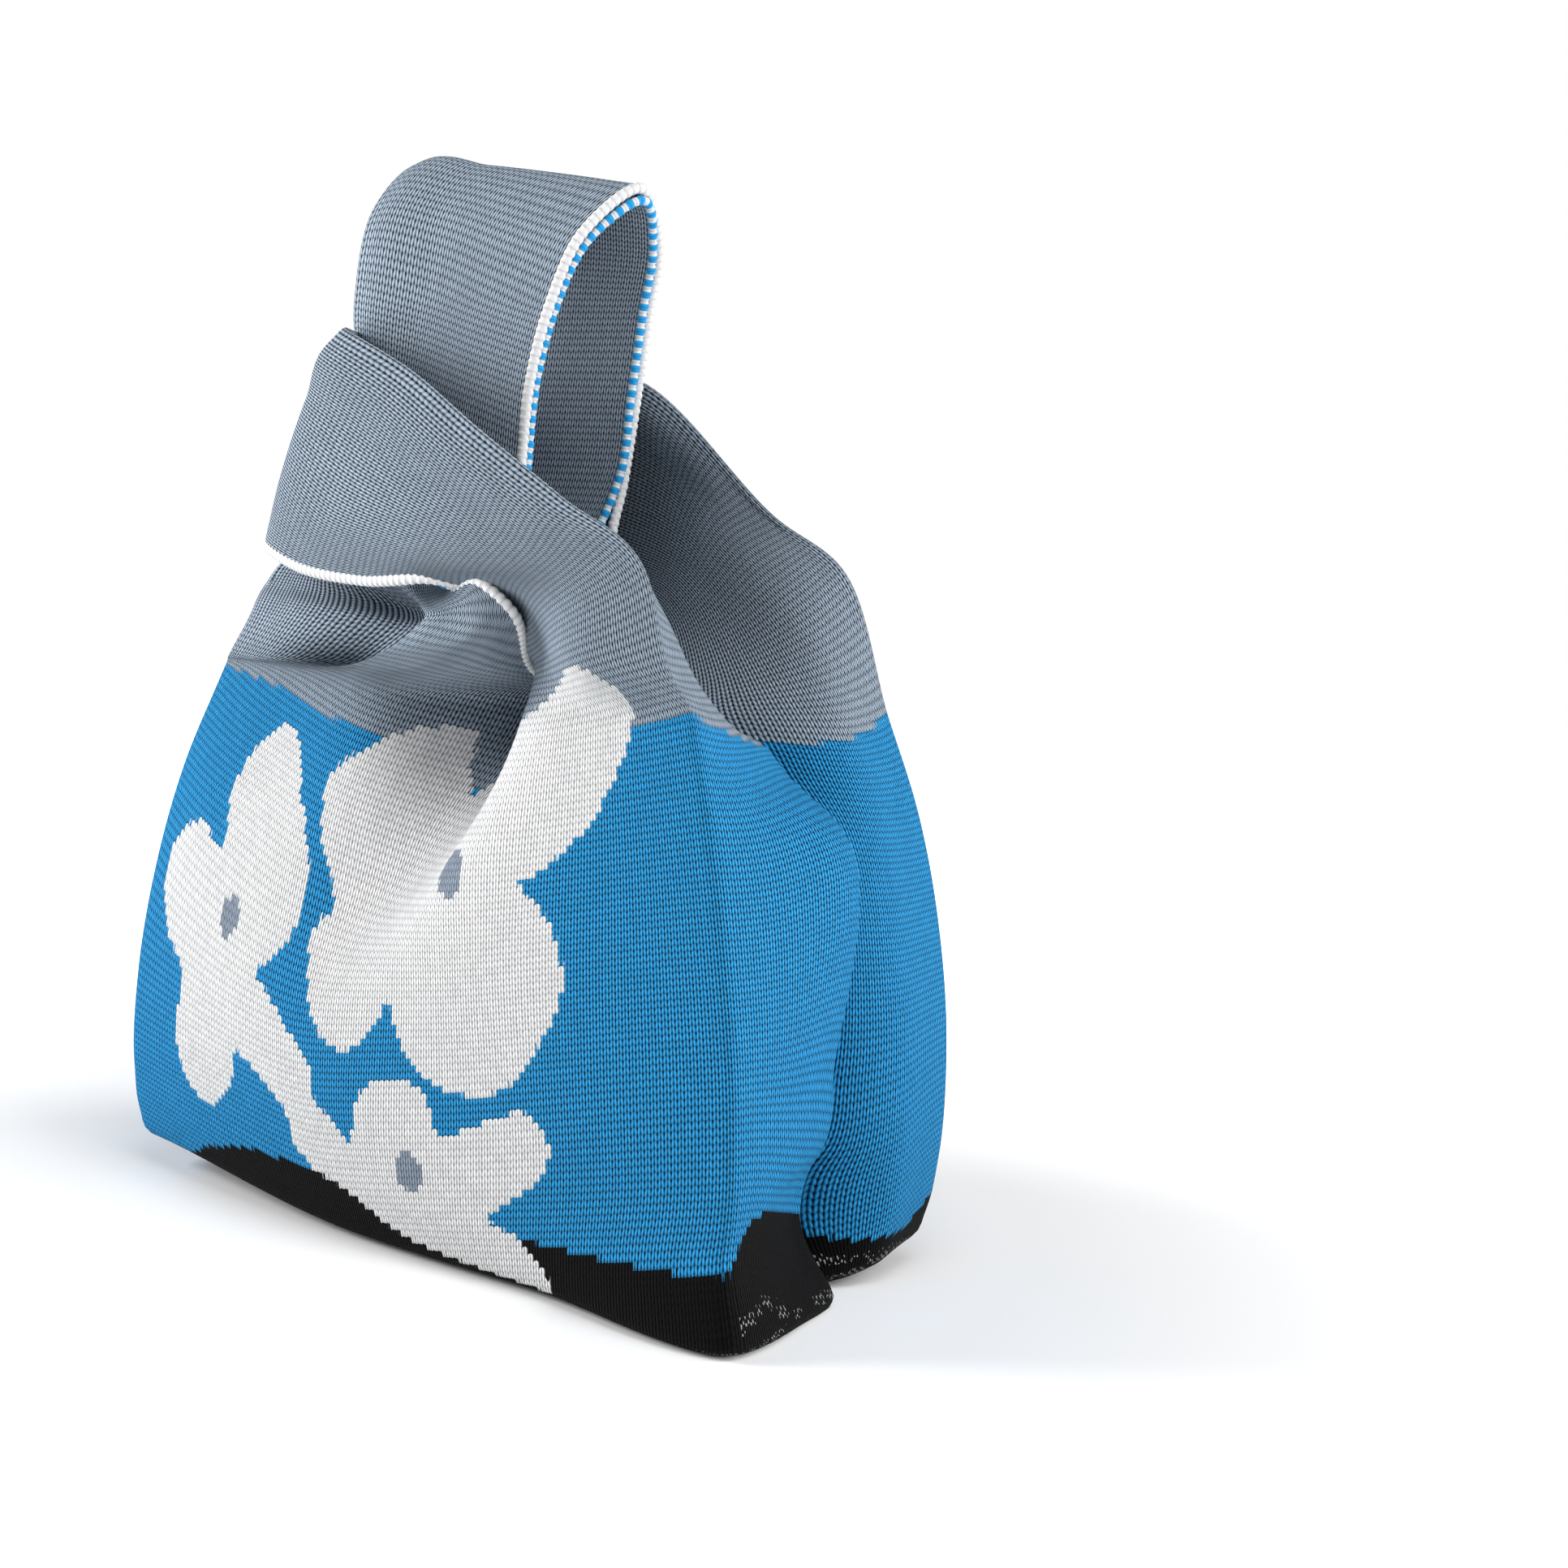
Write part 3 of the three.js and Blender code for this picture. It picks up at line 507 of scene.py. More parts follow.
# Stray white stitches show through the black along these lines
fleckLines = [
    [(88, -9), (96, 0.4), (104, 1.6), (114, 3.0), (124, 2.0), (128, -9)],
    [(98, -9), (101, 4.6), (106, 5.4), (110, 3.6), (114, -9)],
    [(128, -9), (131, 3.0), (140, 3.8), (150, 3.2), (157, 2.4), (160, -9)],
    [(130, -9), (134, 1.2), (142, 1.6), (150, 1.0), (158, -9)]]

dots = [(22.8, 38.3, 2.1, 2.6), (63.4, 48.9, 2.6, 2.8), (57.2, 12.9, 2.2, 2.3)]   # middle, radii
leftBlack = {"middle": 130, "height": 9, "slope": 0.4}   # peak of black in the left pleat
fleck = {"halfHeight": 0.55, "tone": 0.35, "gap": 0.5}   # size of a line, and which stitches show


# How far inwards each place is from a smooth closed curve through the outline, -far beyond that.
# The curve is cut into short pieces; the least distance counts, negative where a level line from
# the place crosses an even number of them
def inwards(outline, x, y):
    count, pieces, far = len(outline), 6, 8.0
    ring = np.array(outline[-2:] + outline + outline[:3], float)
    at = np.linspace(2, count + 2, pieces * count, endpoint=False)
    a = spline(ring, np.arange(count + 5), at)
    b = np.roll(a, -1, axis=0)
    depth = np.full(x.shape, -far)
    near = ((x > a[:, 0].min() - far) & (x < a[:, 0].max() + far)
            & (y > a[:, 1].min() - far) & (y < a[:, 1].max() + far))
    x, y = x[near][:, None], y[near][:, None]
    step = b - a
    share = ((x - a[:, 0]) * step[:, 0] + (y - a[:, 1]) * step[:, 1]) / np.sum(step * step, axis=1)
    share = np.clip(share, 0, 1)
    away = np.hypot(x - a[:, 0] - share * step[:, 0], y - a[:, 1] - share * step[:, 1]).min(axis=1)
    crosses = (a[:, 1] > y) != (b[:, 1] > y)
    with np.errstate(divide="ignore", invalid="ignore"):
        edge = a[:, 0] + (y - a[:, 1]) * step[:, 0] / step[:, 1]
    odd = np.sum(crosses & (x < edge), axis=1) % 2 == 1
    depth[near] = np.where(odd, away, -away)
    return depth


# How deep each place lies inside each colour's area: black and slate by the height to their
# border, white by the flowers and the stem, a dot by r (1 - its distance in radii), a fleck by the
# distance from its line. The back and the left side carry the front's pattern mirrored
def areas(x, y):
    backFrom, leftFrom = rightFoldBack // 2, leftFoldBack // 2
    x = x % (around / 2)
    leftSide = x > leftFrom
    x = np.where(leftSide, leftFrom + backFrom - x, np.where(x > backFrom, leftFrom - x, x))
    leftTop = leftBlack["height"] - np.abs(x - leftBlack["middle"]) * leftBlack["slope"]
    black = np.where(leftSide, leftTop, np.interp(x, *zip(*blackTop))) - y
    slate = y - np.interp(x, *zip(*slateFrom))
    flowers = (leftFlower, leftStem, bigFlower, lowFlower)
    white = np.max([inwards(outline, x, y) for outline in flowers], axis=0)
    dot = np.max([r * (1 - np.hypot((x - a) / r, (y - b) / q)) for a, b, r, q in dots], axis=0)
    lines = [np.abs(y - np.interp(x, *zip(*line))) for line in fleckLines]
    stray = np.max([fleck["halfHeight"] - away for away in lines], axis=0)
    return {"slate": slate, "black": black, "white": white, "dot": dot,
            "fleck": np.minimum(stray, black)}


# Each area's depth with its slopes over (u, v), so that anywhere in a stitch the depth at its
# middle is known: the slopes solve the depth's differences along the rows and the columns
def areaFields(x, y, uv):
    uRow, uColumn = np.gradient(uv[..., 0])
    vRow, vColumn = np.gradient(uv[..., 1])
    scale = uColumn * vRow - uRow * vColumn
    fields = {}
    for label, depth in areas(x, y).items():
        row, column = np.gradient(depth)
        fields[label] = np.stack([
            depth, (column * vRow - row * vColumn) / scale,
            (row * uColumn - column * uRow) / scale], -1)
    return fields


# Point numbers of a grid
def numbered(rows, columns):
    return np.arange(rows * columns).reshape(rows, columns)


# A grid of point numbers closed by its own first column
def wrap(index):
    return np.concatenate([index, index[:, :1]], axis=1)


# Four corners of each face of a grid of point numbers, in order round the face
def quads(index):
    return np.stack([index[:-1, :-1], index[:-1, 1:], index[1:, 1:], index[1:, :-1]],
                    -1).reshape(-1, 4)


# (u, v) at the four corners of each face of a grid, in the same order
def corners(uv):
    return np.stack([uv[:-1, :-1], uv[:-1, 1:], uv[1:, 1:], uv[1:, :-1]], -2).reshape(-1, 4, 2)


# An object of this name and data, put in the scene
def addObject(name, data):
    obj = bpy.data.objects.new(name, data)
    bpy.context.scene.collection.objects.link(obj)
    return obj


# A piece from points in millimetres, its faces, the (u, v) of their corners, a yarn number for
# each face where one is given, and the colour areas at its points
def makeMesh(name, points, faces, uv, material, yarns=None, fields=None):
    data = bpy.data.meshes.new(name)
    data.vertices.add(len(points))
    data.vertices.foreach_set("co", (np.asarray(points) / 1000).ravel())
    data.loops.add(faces.size)
    data.loops.foreach_set("vertex_index", faces.ravel().astype(np.int32))
    data.polygons.add(len(faces))
    data.polygons.foreach_set("loop_start", np.arange(0, faces.size, 4, dtype=np.int32))
    data.update(calc_edges=True)
    data.uv_layers.new(name="stitches").uv.foreach_set("vector", uv.ravel())
    if yarns is not None:
        number = data.attributes.new("yarn", "FLOAT", "FACE")
        number.data.foreach_set("value", yarns.astype(float))
    for label, field in (fields or {}).items():
        area = data.attributes.new(label, "FLOAT_VECTOR", "POINT")
        area.data.foreach_set("vector", field.ravel())
    data.shade_smooth()
    data.materials.append(material)
    return addObject(name, data)


# Materials. The knit's stitch: its least height along a leg and across it; how far its gaps reach,
# in legs, and fade, their share at the stitch's middle, and how dark the painted shade in them is
# at least and at most;
# the bump; how much stitches differ in tone; and the fine hairs of the yarn
knit = {
    "lowAlong": 0.4, "lowAcross": 0.08, "gapReach": 0.42, "gapFrom": 0.85, "gapTo": 0.1,
    "gapMiddle": 0.5, "gapShadeLeast": 0.1, "gapShadeDepth": 0.8, "bumpMm": 0.35,
    "toneLow": 0.94, "toneSpread": 0.12, "fuzzScale": 2200, "fuzzDetail": 3, "fuzzHeight": 0.15,
}
surface = {"Roughness": 0.8, "Specular IOR Level": 0.04, "Sheen Weight": 0.02,
           "Sheen Roughness": 0.6}


# A node with the given sockets linked to its first inputs
def addNode(tree, kind, *sources):
    node = tree.nodes.new("ShaderNode" + kind)
    for socket, source in zip(node.inputs, sources):
        tree.links.new(source, socket)
    return node


# A math node in the tree; numbers go on its own sockets and sockets are linked
def calc(tree, operation, *values):
    node = addNode(tree, "Math")
    node.operation = operation
    for socket, value in zip(node.inputs, values):
        if isinstance(value, bpy.types.NodeSocket):
            tree.links.new(value, socket)
        else:
            socket.default_value = value
    return node.outputs[0]


# A smooth step of a socket's value, from 0 at low to 1 at high
def stepNode(tree, value, low, high):
    node = addNode(tree, "MapRange", value)
    node.interpolation_type = "SMOOTHSTEP"
    node.inputs["From Min"].default_value = low
    node.inputs["From Max"].default_value = high
    return node.outputs[0]


# A material of this name, with its tree and its shader
def newMaterial(name):
    material = bpy.data.materials.new(name)
    material.use_nodes = True
    return material, material.node_tree, material.node_tree.nodes["Principled BSDF"]


# The (u, v) of the stitches
def stitchPlace(tree):
    uv = addNode(tree, "UVMap")
    uv.uv_map = "stitches"
    return addNode(tree, "SeparateXYZ", uv.outputs[0]).outputs[:2]


# above(x, low) = low + (1 - low) x, tri = |2 fract(u) - 1|, a = fract(2u),
# b = fract(v - slant (1 - tri)), q = v - colourSlant (1 - tri),
# height = above(sqrt(sin(pi b)), lowAlong) above(sin(pi a), lowAcross),
# gap = above(tri, gapMiddle) at the ends of a leg, falling to 0 within gapReach of one,
# tone = white noise of (floor u, floor q), yarn = the number of slate, black, white or dot, the
# last of them where depth + slopes . (0.5 - fract u, 0.5 - fract q) > 0, and white in a fleck
# where tone and gap are high
def knitGroup():
    tree = bpy.data.node_groups.new("Knit stitch", "ShaderNodeTree")

    def step(operation, *values):
        return calc(tree, operation, *values)

    def above(value, low):
        return step("MULTIPLY_ADD", value, 1 - low, low)

    u, v = stitchPlace(tree)
    across = step("FRACT", u)
    tri = step("ABSOLUTE", step("MULTIPLY_ADD", across, 2.0, -1.0))
    a = step("FRACT", step("MULTIPLY", u, 2.0))
    b = step("FRACT", step(
        "SUBTRACT", v, step("MULTIPLY_ADD", tri, -stitch["slant"], stitch["slant"])))
    q = step("SUBTRACT", v, step(
        "MULTIPLY_ADD", tri, -stitch["colourSlant"], stitch["colourSlant"]))
    ridgeB = step("POWER", step("SINE", step("MULTIPLY", b, math.pi)), 0.5)
    ridgeA = step("SINE", step("MULTIPLY", a, math.pi))
    height = step("MULTIPLY", above(ridgeB, knit["lowAlong"]), above(ridgeA, knit["lowAcross"]))
    endA, endB = (step("MULTIPLY", step("PINGPONG", leg, 0.5), 1 / knit["gapReach"])
                  for leg in (a, b))
    far = step("ADD", step("MULTIPLY", endA, endA), step("MULTIPLY", endB, endB))
    gap = step("MULTIPLY", stepNode(tree, far, knit["gapFrom"], knit["gapTo"]),
               above(tri, knit["gapMiddle"]))
    cell = addNode(tree, "CombineXYZ", step("FLOOR", u), step("FLOOR", q))
    tone = addNode(tree, "TexWhiteNoise", cell.outputs[0])
    tone.noise_dimensions = "2D"
    fuzz = addNode(tree, "TexNoise", addNode(tree, "TexCoord").outputs["Object"])
    fuzz.inputs["Scale"].default_value = knit["fuzzScale"]
    fuzz.inputs["Detail"].default_value = knit["fuzzDetail"]
    middle = addNode(tree, "CombineXYZ")
    middle.inputs[0].default_value = 1
    tree.links.new(step("SUBTRACT", 0.5, across), middle.inputs[1])
    tree.links.new(step("SUBTRACT", 0.5, step("FRACT", q)), middle.inputs[2])
    number = 0.0
    for label in ("slate", "black", "white", "dot", "fleck"):
        kind = yarnNumber("white" if label == "fleck" else label)
        depth = addNode(tree, "Attribute")
        depth.attribute_name = label
        inside = addNode(tree, "VectorMath", depth.outputs["Vector"], middle.outputs[0])
        inside.operation = "DOT_PRODUCT"
        mask = step("GREATER_THAN", inside.outputs["Value"], 0.0)
        if label == "fleck":
            mask = step("MULTIPLY", mask, step("GREATER_THAN", tone.outputs[0], fleck["tone"]))
            mask = step("MULTIPLY", mask, step("GREATER_THAN", gap, fleck["gap"]))
        number = step("MULTIPLY_ADD", mask, step("SUBTRACT", kind, number), number)
    out = tree.nodes.new("NodeGroupOutput")
    for label, value in (("Height", height), ("Gap", gap), ("Tone", tone.outputs[0]),
                         ("Fuzz", fuzz.outputs[0]), ("Yarn", number)):
        tree.interface.new_socket(label, in_out="OUTPUT", socket_type="NodeSocketFloat")
        tree.links.new(value, out.inputs[label])
    return tree


knitStitch = knitGroup()


# Dull yarn, with the stitch group and the yarn number of a face
def yarnMaterial(name):
    material, tree, shader = newMaterial(name)
    for label, value in surface.items():
        shader.inputs[label].default_value = value
    stitches = addNode(tree, "Group")
    stitches.node_tree = knitStitch
    number = addNode(tree, "Attribute")
    number.attribute_name = "yarn"
    return material, tree, shader, stitches.outputs, number.outputs["Fac"]


# Colour of yarn number n, and as alpha how much painted shade darkens its stitches: a ramp of one
# flat stop for each yarn, read at the middle of its stop
def yarnRamp(tree, number):
    share = 1 / len(yarn)
    ramp = addNode(tree, "ValToRGB", calc(tree, "MULTIPLY_ADD", number, share, share / 2))
    ramp.color_ramp.interpolation = "CONSTANT"
    stops = ramp.color_ramp.elements
    for i, colour in enumerate(yarn.values()):
        stop = stops[i] if i < 2 else stops.new(i / len(yarn))
        stop.position = i / len(yarn)
        stop.color = colour
    return ramp.outputs


# Base colour = the ramp's colour times shade, which changes over the surface
def yarnColour(tree, shader, colour, shade):
    mix = addNode(tree, "VectorMath", colour)
    mix.operation = "SCALE"
    tree.links.new(shade, mix.inputs["Scale"])
    tree.links.new(mix.outputs[0], shader.inputs["Base Color"])


# Normal from a height of so many millimetres
def yarnBump(tree, shader, height, millimetres):
    relief = addNode(tree, "Bump")
    relief.inputs["Distance"].default_value = millimetres / 1000
    tree.links.new(height, relief.inputs["Height"])
    tree.links.new(relief.outputs[0], shader.inputs["Normal"])


# colour = yarn (1 - (least + most alpha) gap) (1 - alpha (1 - height)) (toneLow + toneSpread tone),
# a painted shade in the gaps between stitches and towards the edges of each leg, alpha being the
# yarn's own share of it;
# bump height = height + fuzzHeight fuzz
def knitMaterial(name):
    material, tree, shader, stitches, number = yarnMaterial(name)
    colour, paintedStitchShade = yarnRamp(tree, calc(tree, "ADD", number, stitches["Yarn"]))
    depth = calc(tree, "MULTIPLY_ADD", paintedStitchShade, -knit["gapShadeDepth"], -knit["gapShadeLeast"])
    shade = calc(tree, "MULTIPLY_ADD", stitches["Gap"], depth, 1.0)
    legEdgeShade = calc(tree, "MULTIPLY", calc(tree, "SUBTRACT", 1.0, stitches["Height"]), paintedStitchShade)
    shade = calc(tree, "MULTIPLY", shade, calc(tree, "SUBTRACT", 1.0, legEdgeShade))
    tone = calc(tree, "MULTIPLY_ADD", stitches["Tone"], knit["toneSpread"], knit["toneLow"])
    yarnColour(tree, shader, colour, calc(tree, "MULTIPLY", shade, tone))
    height = calc(tree, "MULTIPLY_ADD", stitches["Fuzz"], knit["fuzzHeight"], stitches["Height"])
    yarnBump(tree, shader, height, knit["bumpMm"])
    return material


# Selvedge chains. The white one is a plain chain; the dashed one goes from white to blue and back
# with every second stitch. Each sinks into the sheet and stands out from its edge a little
chain = {
    "white": {"radius": 1.6, "pitch": 2.3, "least": 0.84, "swell": 0, "lump": 0.24, "blue": 0},
    "dashed": {
        "radius": 1.35, "pitch": 1.85, "least": 0.78, "swell": 0.2, "lump": 0.16, "blue": 0.62},
    "sink": 0.75, "out": 0.35, "around": 12, "steps": 6,
    # dark and light set the painted shade between the chain's stitches
    "dark": 0.48, "light": 0.4, "bumpMm": 0.12,
}


# colour = yarn (dark + light sqrt|sin(pi v)|), v counting the chain's stitches, a painted shade
# darkest where one stitch meets the next; bump height = fuzz
def chainMaterial(name):
    material, tree, shader, stitches, number = yarnMaterial(name)
    v = stitchPlace(tree)[1]
    wave = calc(tree, "ABSOLUTE", calc(tree, "SINE", calc(tree, "MULTIPLY", v, math.pi)))
    wave = calc(tree, "POWER", wave, 0.5)
    shade = calc(tree, "MULTIPLY_ADD", wave, chain["light"], chain["dark"])
    yarnColour(tree, shader, yarnRamp(tree, number)[0], shade)
    yarnBump(tree, shader, stitches["Fuzz"], chain["bumpMm"])
    return material


knitYarn = knitMaterial("Knit yarn")
chainYarn = chainMaterial("Chain yarn")
print("materials made")

# The bag with its long strap is one mesh: the underside and the wall as a ring, then the strap
ringGrid = np.concatenate([floorGrid, wall])
ringRows = len(ringGrid)
ringIndex = numbered(ringRows, around)
ringLengths = np.concatenate([-underside["length"] * (1 - inset[:, 0]), wallLengths])[:, None]
ringCourses = courseCount(ringLengths - ringClimb(np.maximum(ringLengths, 0) / wallLength))
waleStep = body["frontWales"] / frontColumns
columnNumbers = np.arange(around)[None, :] + np.zeros((ringRows, 1))
rowNumbers = (np.arange(ringRows) - underside["rows"])[:, None] + 0 * columnNumbers
ringUv = np.stack([columnNumbers * waleStep, ringCourses], -1)
ringFields = areaFields(columnNumbers / 2, rowNumbers, ringUv)

# Where the wales of each strap run together, from its ends on, and how its courses lean: pairs of
# a length from the front root and so many courses over the outer layer
longKnit = {"gather": (0, 45), "lean": [(60, 0), (115, 9), (165, 9), (215, 0)]}
shortKnit = {"gather": (12, 60), "lean": [
    (5, 0), (60, 9), (85, 9), (150, 0), (310, 0), (360, 14), (400, 18), (440, 10), (460, 0)]}


# (u, v) of a strap. u = the crease's wale + sign j waleStep narrow, j being the columns from the
# crease, and narrow goes from 1 at the ends to halfWales over a layer. v grows evenly with the
# rows to a whole number of courses, plus what the ring's own courses differ from their mean at
# the ends, which fades over endFade, plus the lean
def strapUv(grid, frontPart, backPart, crease, sign, course, gather, lean):
    rows, columns = grid.shape[:2]
    j = np.arange(columns) - crease
    outer = min(strap["halfWales"] / (crease * waleStep), 1.0)
    inner = strap["halfWales"] / ((columns - 1 - crease) * waleStep)
    row = np.arange(rows)[:, None]
    along = row * mesh["rowStep"]
    length = np.minimum(row, rows - 1 - row) * mesh["rowStep"]
    narrow = 1 + np.where(j[None, :] < 0, outer - 1, inner - 1) * smooth(length, *gather)
    u = ringUv[-1, frontPart[crease], 0] + sign * j[None, :] * waleStep * narrow
    if sign < 0:   # the hump of the long strap has few wales and its crease side many
        crowd = np.interp(-j / crease, [0, strap["crowdAt"], 1], [0, strap["crowdWales"], 0])
        u = u + (crowd[None, :] * smooth(along, *strap["crowdIn"])
                 * (1 - smooth(along, *strap["crowdOut"])))
    front, back = ringUv[-1, frontPart, 1], ringUv[-1, backPart, 1]
    middle, end = np.mean(front), np.mean(back)
    total = np.round(middle + end + (rows - 1) * mesh["rowStep"] / course)
    ends = np.where(row < rows / 2, front - middle, end - back)
    ends = ends * (1 - smooth(length, *strap["endFade"]))
    v = middle + row / (rows - 1) * (total - end - middle) + ends
    places, courses = np.array(lean).T
    v = v + np.interp(along, places, courses) * np.clip(-j / crease, 0, 1)[None, :]
    return np.stack([u, v], -1)


# Colour areas of a strap: its rows go on up from the wall's, at both ends
def strapFields(uv, frontPart):
    rows, columns = uv.shape[:2]
    row = np.arange(rows)[:, None] + np.zeros((1, columns))
    x = frontPart[None, :] / 2 + 0 * row
    return areaFields(x, np.minimum(row, rows - 1 - row) + wallRows, uv)


longIndex = numbered(*longGrid.shape[:2]) + ringIndex.size - longGrid.shape[1]
longIndex[0] = ringIndex[-1, longFront]   # its first and last rows are the ring's own
longIndex[-1] = ringIndex[-1, longBack]
longUv = strapUv(longGrid, longFront, longBack, slitColumn - 1, -1,
                 stitch["longCourse"], **longKnit)
longFields = strapFields(longUv, longFront)
bodyPoints = np.concatenate([ringGrid.reshape(-1, 3), longGrid[1:-1].reshape(-1, 3)])
bodyFaces = np.concatenate([quads(wrap(ringIndex)), quads(longIndex)[:, ::-1]])
lastColumn = ringUv[:, :1] + (around * waleStep, 0)
ringCorners = corners(np.concatenate([ringUv, lastColumn], axis=1))
bodyFields = {
    label: np.concatenate([field.reshape(-1, 3), longFields[label][1:-1].reshape(-1, 3)])
    for label, field in ringFields.items()}
knitBody = makeMesh("knit_body", bodyPoints, bodyFaces,
                    np.concatenate([ringCorners, corners(longUv)[:, ::-1]]), knitYarn,
                    fields=bodyFields)
print("bag and long strap", len(bodyFaces), "faces")

# Short strap with the band round the wrist loop
shortFaces = quads(numbered(*shortGrid.shape[:2]))
shortUv = strapUv(shortGrid, shortFront, shortBack, rightFold - slitColumn - 1, 1,
                  stitch["shortCourse"], **shortKnit)
shortStrap = makeMesh("short_strap", shortGrid.reshape(-1, 3), shortFaces, corners(shortUv),
                      knitYarn, fields=strapFields(shortUv, shortFront))
print("short strap", len(shortFaces), "faces")


# Vectors made one long
def unit(vectors):
    return vectors / np.linalg.norm(vectors, axis=1, keepdims=True)


# Share of a radius near a tube's end: the square root of the distance from it, held from 0.02 to 1
def taper(distance):
    return np.sqrt(np.clip(distance, 0.02, 1))


# Chain along an edge column of a strap: a tube whose radius is lumped once for each stitch n,
# radius (least + swell sin(pi n / 2)^2 + lump |sin(pi n + angle)|), and whose ends close within
# half a stitch. It is blue where |n mod 2 - 1| < blue
def chainMesh(name, grid, edge, outward, look):
    link = chain[look]
    line = grid[:, edge]
    across = unit(line - grid[:, 3 if edge == 0 else -4])   # out over the edge of the sheet
    normal = outward * gridNormals(grid)[:, edge]
    path = line - chain["sink"] * link["radius"] * normal + chain["out"] * across
    length = np.concatenate([[0], np.cumsum(np.linalg.norm(np.diff(path, axis=0), axis=1))])
    count = int(length[-1] / link["pitch"])
    n = np.linspace(0, count, count * chain["steps"] + 1)
    at = n / count * length[-1]
    centre = spline(path, length, at)
    tangent = unit(np.gradient(centre, axis=0))
    side = spline(across, length, at)
    side = unit(side - tangent * np.sum(side * tangent, axis=1, keepdims=True))
    other = np.cross(tangent, side)
    angle = np.linspace(0, 2 * np.pi, chain["around"] + 1)[None, :]
    turns = np.pi * n[:, None]
    size = (link["least"] + link["swell"] * np.sin(turns / 2) ** 2
            + link["lump"] * np.abs(np.sin(turns + angle)))
    size = link["radius"] * size * taper(2 * np.minimum(n, count - n)[:, None])
    points = (centre[:, None] + size[..., None] * (
        np.cos(angle)[..., None] * side[:, None] + np.sin(angle)[..., None] * other[:, None]))
    index = wrap(numbered(len(points), chain["around"]))
    uv = np.stack(np.broadcast_arrays(angle / np.pi, n[:, None]), -1)
    blue = np.abs(n[:-1] % 2 - 1) < link["blue"]
    yarns = np.where(blue, yarnNumber("blue"), yarnNumber("white"))
    return makeMesh(name, points[:, :-1].reshape(-1, 3), quads(index), corners(uv), chainYarn,
                    yarns=np.repeat(yarns, chain["around"]))


chains = [
    chainMesh("long_outer_chain", longGrid, 0, -1, "white"),
    chainMesh("long_inner_chain", longGrid, -1, -1, "dashed"),
    chainMesh("short_outer_chain", shortGrid, 0, 1, "white"),
    chainMesh("short_inner_chain", shortGrid, -1, 1, "dashed"),
]
print("chains made")

# Lining, the wrong side of the fabric: the same grids set back inside, above the floor
lining = {"setBack": 1.8, "lowest": 0.4}


# Points, faces and (u, v) = grid - setBack normal, every second column, with its faces turned
# the other way; start is the number of its first point
def liningParts(grid, outward, uv, closed, start):
    normals = gridNormals(grid)
    if closed:
        wrapped = np.concatenate([grid[:, -1:], grid, grid[:, :1]], axis=1)
        normals = gridNormals(wrapped)[:, 1:-1]
    inner = grid - outward * normals * lining["setBack"]
    inner[..., 2] = np.maximum(inner[..., 2], lining["lowest"])
    inner, uv = inner[:, ::2], uv[:, ::2]
    index = numbered(*inner.shape[:2]) + start
    if closed:
        index = wrap(index)
        uv = np.concatenate([uv, uv[:, :1] + (around * waleStep, 0)], axis=1)
    turned = slice(None, None, -1) if outward > 0 else slice(None)
    return inner.reshape(-1, 3), quads(index)[:, turned], corners(uv)[:, turned]


# A piece of slate yarn from those parts
def liningMesh(name, parts):
    return makeMesh(name, *parts, knitYarn, yarns=np.full(len(parts[1]), yarnNumber("slate")))


ringPart = liningParts(ringGrid, 1, ringUv, True, 0)
longPart = liningParts(longGrid, -1, longUv, False, len(ringPart[0]))
bodyLining = liningMesh("body_lining", [np.concatenate(pair) for pair in zip(ringPart, longPart)])
shortLining = liningMesh("short_lining", liningParts(shortGrid, 1, shortUv, False, 0))
print("linings made")

# Seam allowance: a black rib along the floor of the bag, in section a squared oval, with a bump
# for each stitch of its pitch
seam = {"length": 172.0, "width": 3.8, "low": 2.7, "high": 7.6, "pitch": 1.75, "square": 0.7,
        "least": 0.9, "lump": 0.1, "around": 16, "steps": 312}
angle = np.linspace(0, 2 * np.pi, seam["around"] + 1)
along = np.linspace(-seam["length"] / 2, seam["length"] / 2, seam["steps"] + 1)
ovalY, ovalZ = (np.sign(wave) * np.abs(wave) ** seam["square"]
                for wave in (np.cos(angle), np.sin(angle)))
size = seam["least"] + seam["lump"] * np.abs(np.sin(np.pi * along / seam["pitch"]))
size = (size * taper((seam["length"] / 2 - np.abs(along)) / 2))[:, None]
middle, reach = (seam["low"] + seam["high"]) / 2, (seam["high"] - seam["low"]) / 2
seamGrid = np.stack(np.broadcast_arrays(
    along[:, None], seam["width"] / 2 * ovalY[None, :] * size,
    middle + reach * ovalZ[None, :] * size), -1)
seamFaces = quads(wrap(numbered(len(along), seam["around"])))
seamUv = np.stack(np.broadcast_arrays(
    angle[None, :] * 2 / np.pi, along[:, None] / stitch["shortCourse"]), -1)
bottomSeam = makeMesh("bottom_seam_rib", seamGrid[:, :-1].reshape(-1, 3), seamFaces,
                      corners(seamUv), knitYarn,
                      yarns=np.full(len(seamFaces), yarnNumber("black")))
print("seam made")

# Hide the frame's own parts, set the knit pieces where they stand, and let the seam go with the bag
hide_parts("base", "front_panel", "back_panel", "left_gusset", "right_gusset",
            "long_strap_front", "wrist_loop", "long_strap_back")
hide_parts("short_strap_front", "short_loop", "short_strap_back")
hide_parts("wrist_loop_white_edge", "front_neck_edge")
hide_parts("wrist_loop_blue_edge", "left_slit_edge")
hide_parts("short_loop_white_edge", "back_neck_edge")
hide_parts("short_loop_blue_edge", "right_slit_edge")
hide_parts("bottom_seam")
for piece in (knitBody, bodyLining, chains[0], chains[1]):
    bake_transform(piece)
for piece in (shortStrap, shortLining, chains[2], chains[3]):
    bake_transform(piece)
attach(bottomSeam, "bag")

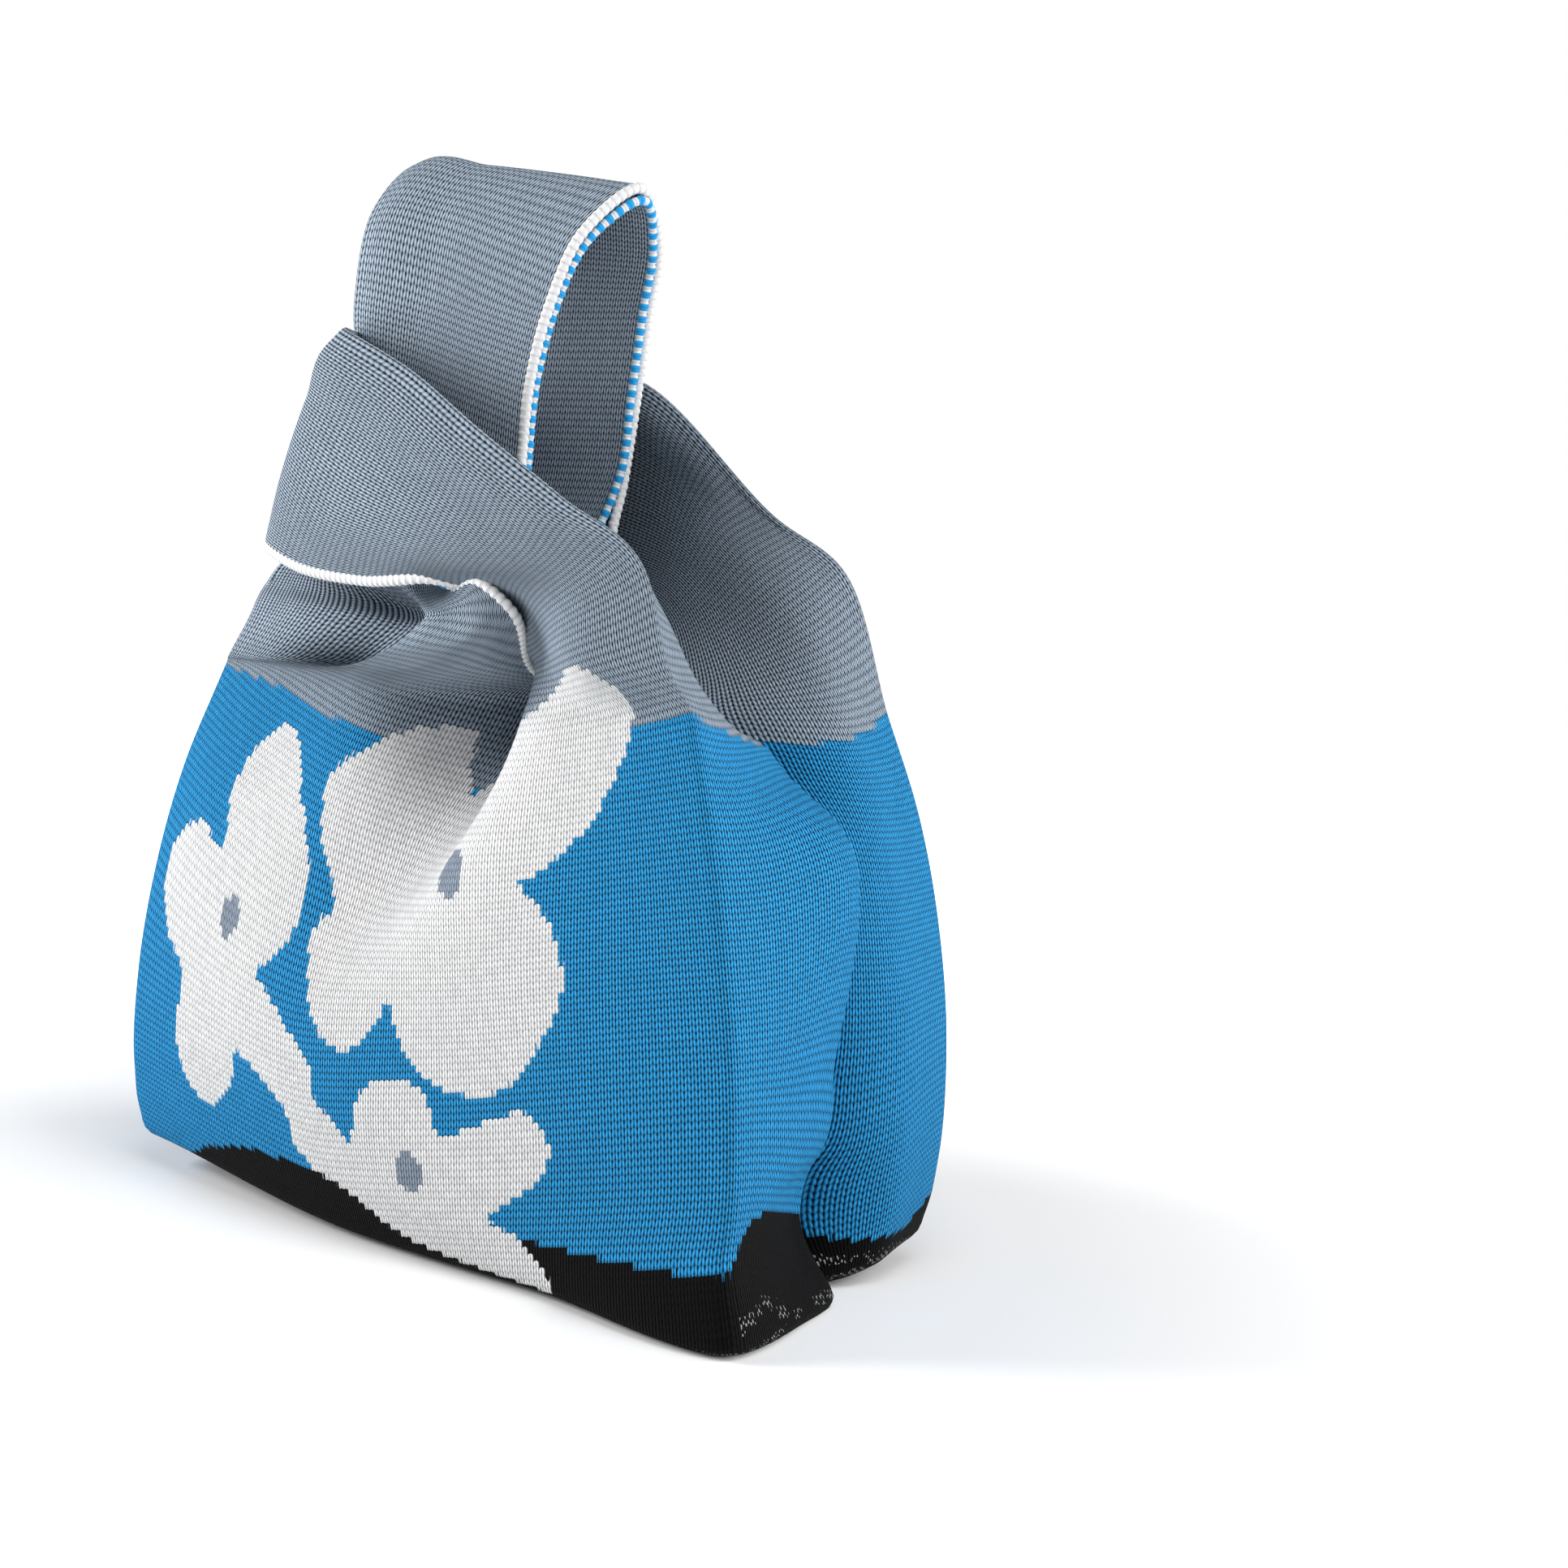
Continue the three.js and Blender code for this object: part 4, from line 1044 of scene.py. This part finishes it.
# Floor: pale paper that glows further out, by 3t^2 - 2t^3 between the two distances in metres
paper = {"reach": 3, "brightness": 0.9, "roughness": 0.8, "glowFrom": 0.14, "glowTo": 0.6}
far = paper["reach"]
floorMesh = bpy.data.meshes.new("floor")
floorMesh.from_pydata([(-far, -far, 0), (far, -far, 0), (far, far, 0), (-far, far, 0)], [],
                      [(0, 1, 2, 3)])
floorObject = addObject("floor", floorMesh)
paleFloor, paperTree, paperShader = newMaterial("Pale floor")
paperShader.inputs["Base Color"].default_value = (paper["brightness"],) * 3 + (1,)
paperShader.inputs["Roughness"].default_value = paper["roughness"]
paperShader.inputs["Emission Color"].default_value = (1, 1, 1, 1)
away = addNode(paperTree, "VectorMath", addNode(paperTree, "TexCoord").outputs["Object"])
away.operation = "LENGTH"
glow = stepNode(paperTree, away.outputs["Value"], paper["glowFrom"], paper["glowTo"])
paperTree.links.new(glow, paperShader.inputs["Emission Strength"])
floorMesh.materials.append(paleFloor)

# The backdrop is seen brighter than it lights: ambient, and backdrop for the camera's own rays
air = {"ambient": 0.07, "backdrop": 1.0}
world = bpy.data.worlds.new("Studio")
world.use_nodes = True
worldTree = world.node_tree
background = worldTree.nodes["Background"]
background.inputs["Color"].default_value = (1, 1, 1, 1)
rays = addNode(worldTree, "LightPath")
worldTree.links.new(
    calc(worldTree, "MULTIPLY_ADD", rays.outputs["Is Camera Ray"],
         air["backdrop"] - air["ambient"], air["ambient"]),
    background.inputs["Strength"])
bpy.context.scene.view_settings.view_transform = "Standard"
bpy.context.scene.world = world

# Square lights: where each hangs and what height of the bag it faces, in metres, its side and watts
lights = {
    "key": {"position": (-1.15, -0.85, 0.65), "aim": 0.12, "side": 0.7, "power": 31},
    "fill": {"position": (1.4, 0.05, 0.7), "aim": 0.12, "side": 0.9, "power": 14},
    "top": {"position": (0.55, -0.35, 1.5), "aim": 0.1, "side": 1.0, "power": 10},
    "back": {"position": (0.9, 1.1, 0.9), "aim": 0.12, "side": 0.8, "power": 13},
}
for name, look in lights.items():
    light = bpy.data.lights.new(name, "AREA")
    light.shape = "RECTANGLE"
    light.size = light.size_y = look["side"]
    light.energy = look["power"]
    lamp = addObject(name, light)
    lamp.location = look["position"]
    beam = Vector((0, 0, look["aim"])) - Vector(look["position"])
    lamp.rotation_euler = beam.to_track_quat("-Z", "Y").to_euler()

# Camera at the photograph's angle: degrees, and metres from its target
camera = {
    "azimuth": 38.0, "pitch": 4.6, "roll": 3.9, "distance": 0.64, "target": (-0.005, 0, 0.135),
    "lens": 50.3, "sensor": 36.0, "shiftX": 0.161, "shiftY": -0.019,
}
az, pitch, roll = (math.radians(camera[k]) for k in ("azimuth", "pitch", "roll"))
forward = Vector((
    -math.sin(az) * math.cos(pitch), math.cos(az) * math.cos(pitch), -math.sin(pitch)))
level = forward.cross(Vector((0, 0, 1))).normalized()
plumb = level.cross(forward)
right = level * math.cos(roll) + plumb * math.sin(roll)
up = plumb * math.cos(roll) - level * math.sin(roll)
lens = bpy.data.cameras.new("camera")
lens.lens, lens.sensor_width = camera["lens"], camera["sensor"]
lens.shift_x, lens.shift_y = camera["shiftX"], camera["shiftY"]
eye = addObject("camera", lens)
turn = Matrix((right, up, -forward)).transposed().to_4x4()
stand = Vector(camera["target"]) - forward * camera["distance"]
eye.matrix_world = Matrix.Translation(stand) @ turn
bpy.context.scene.camera = eye
print("studio ready")
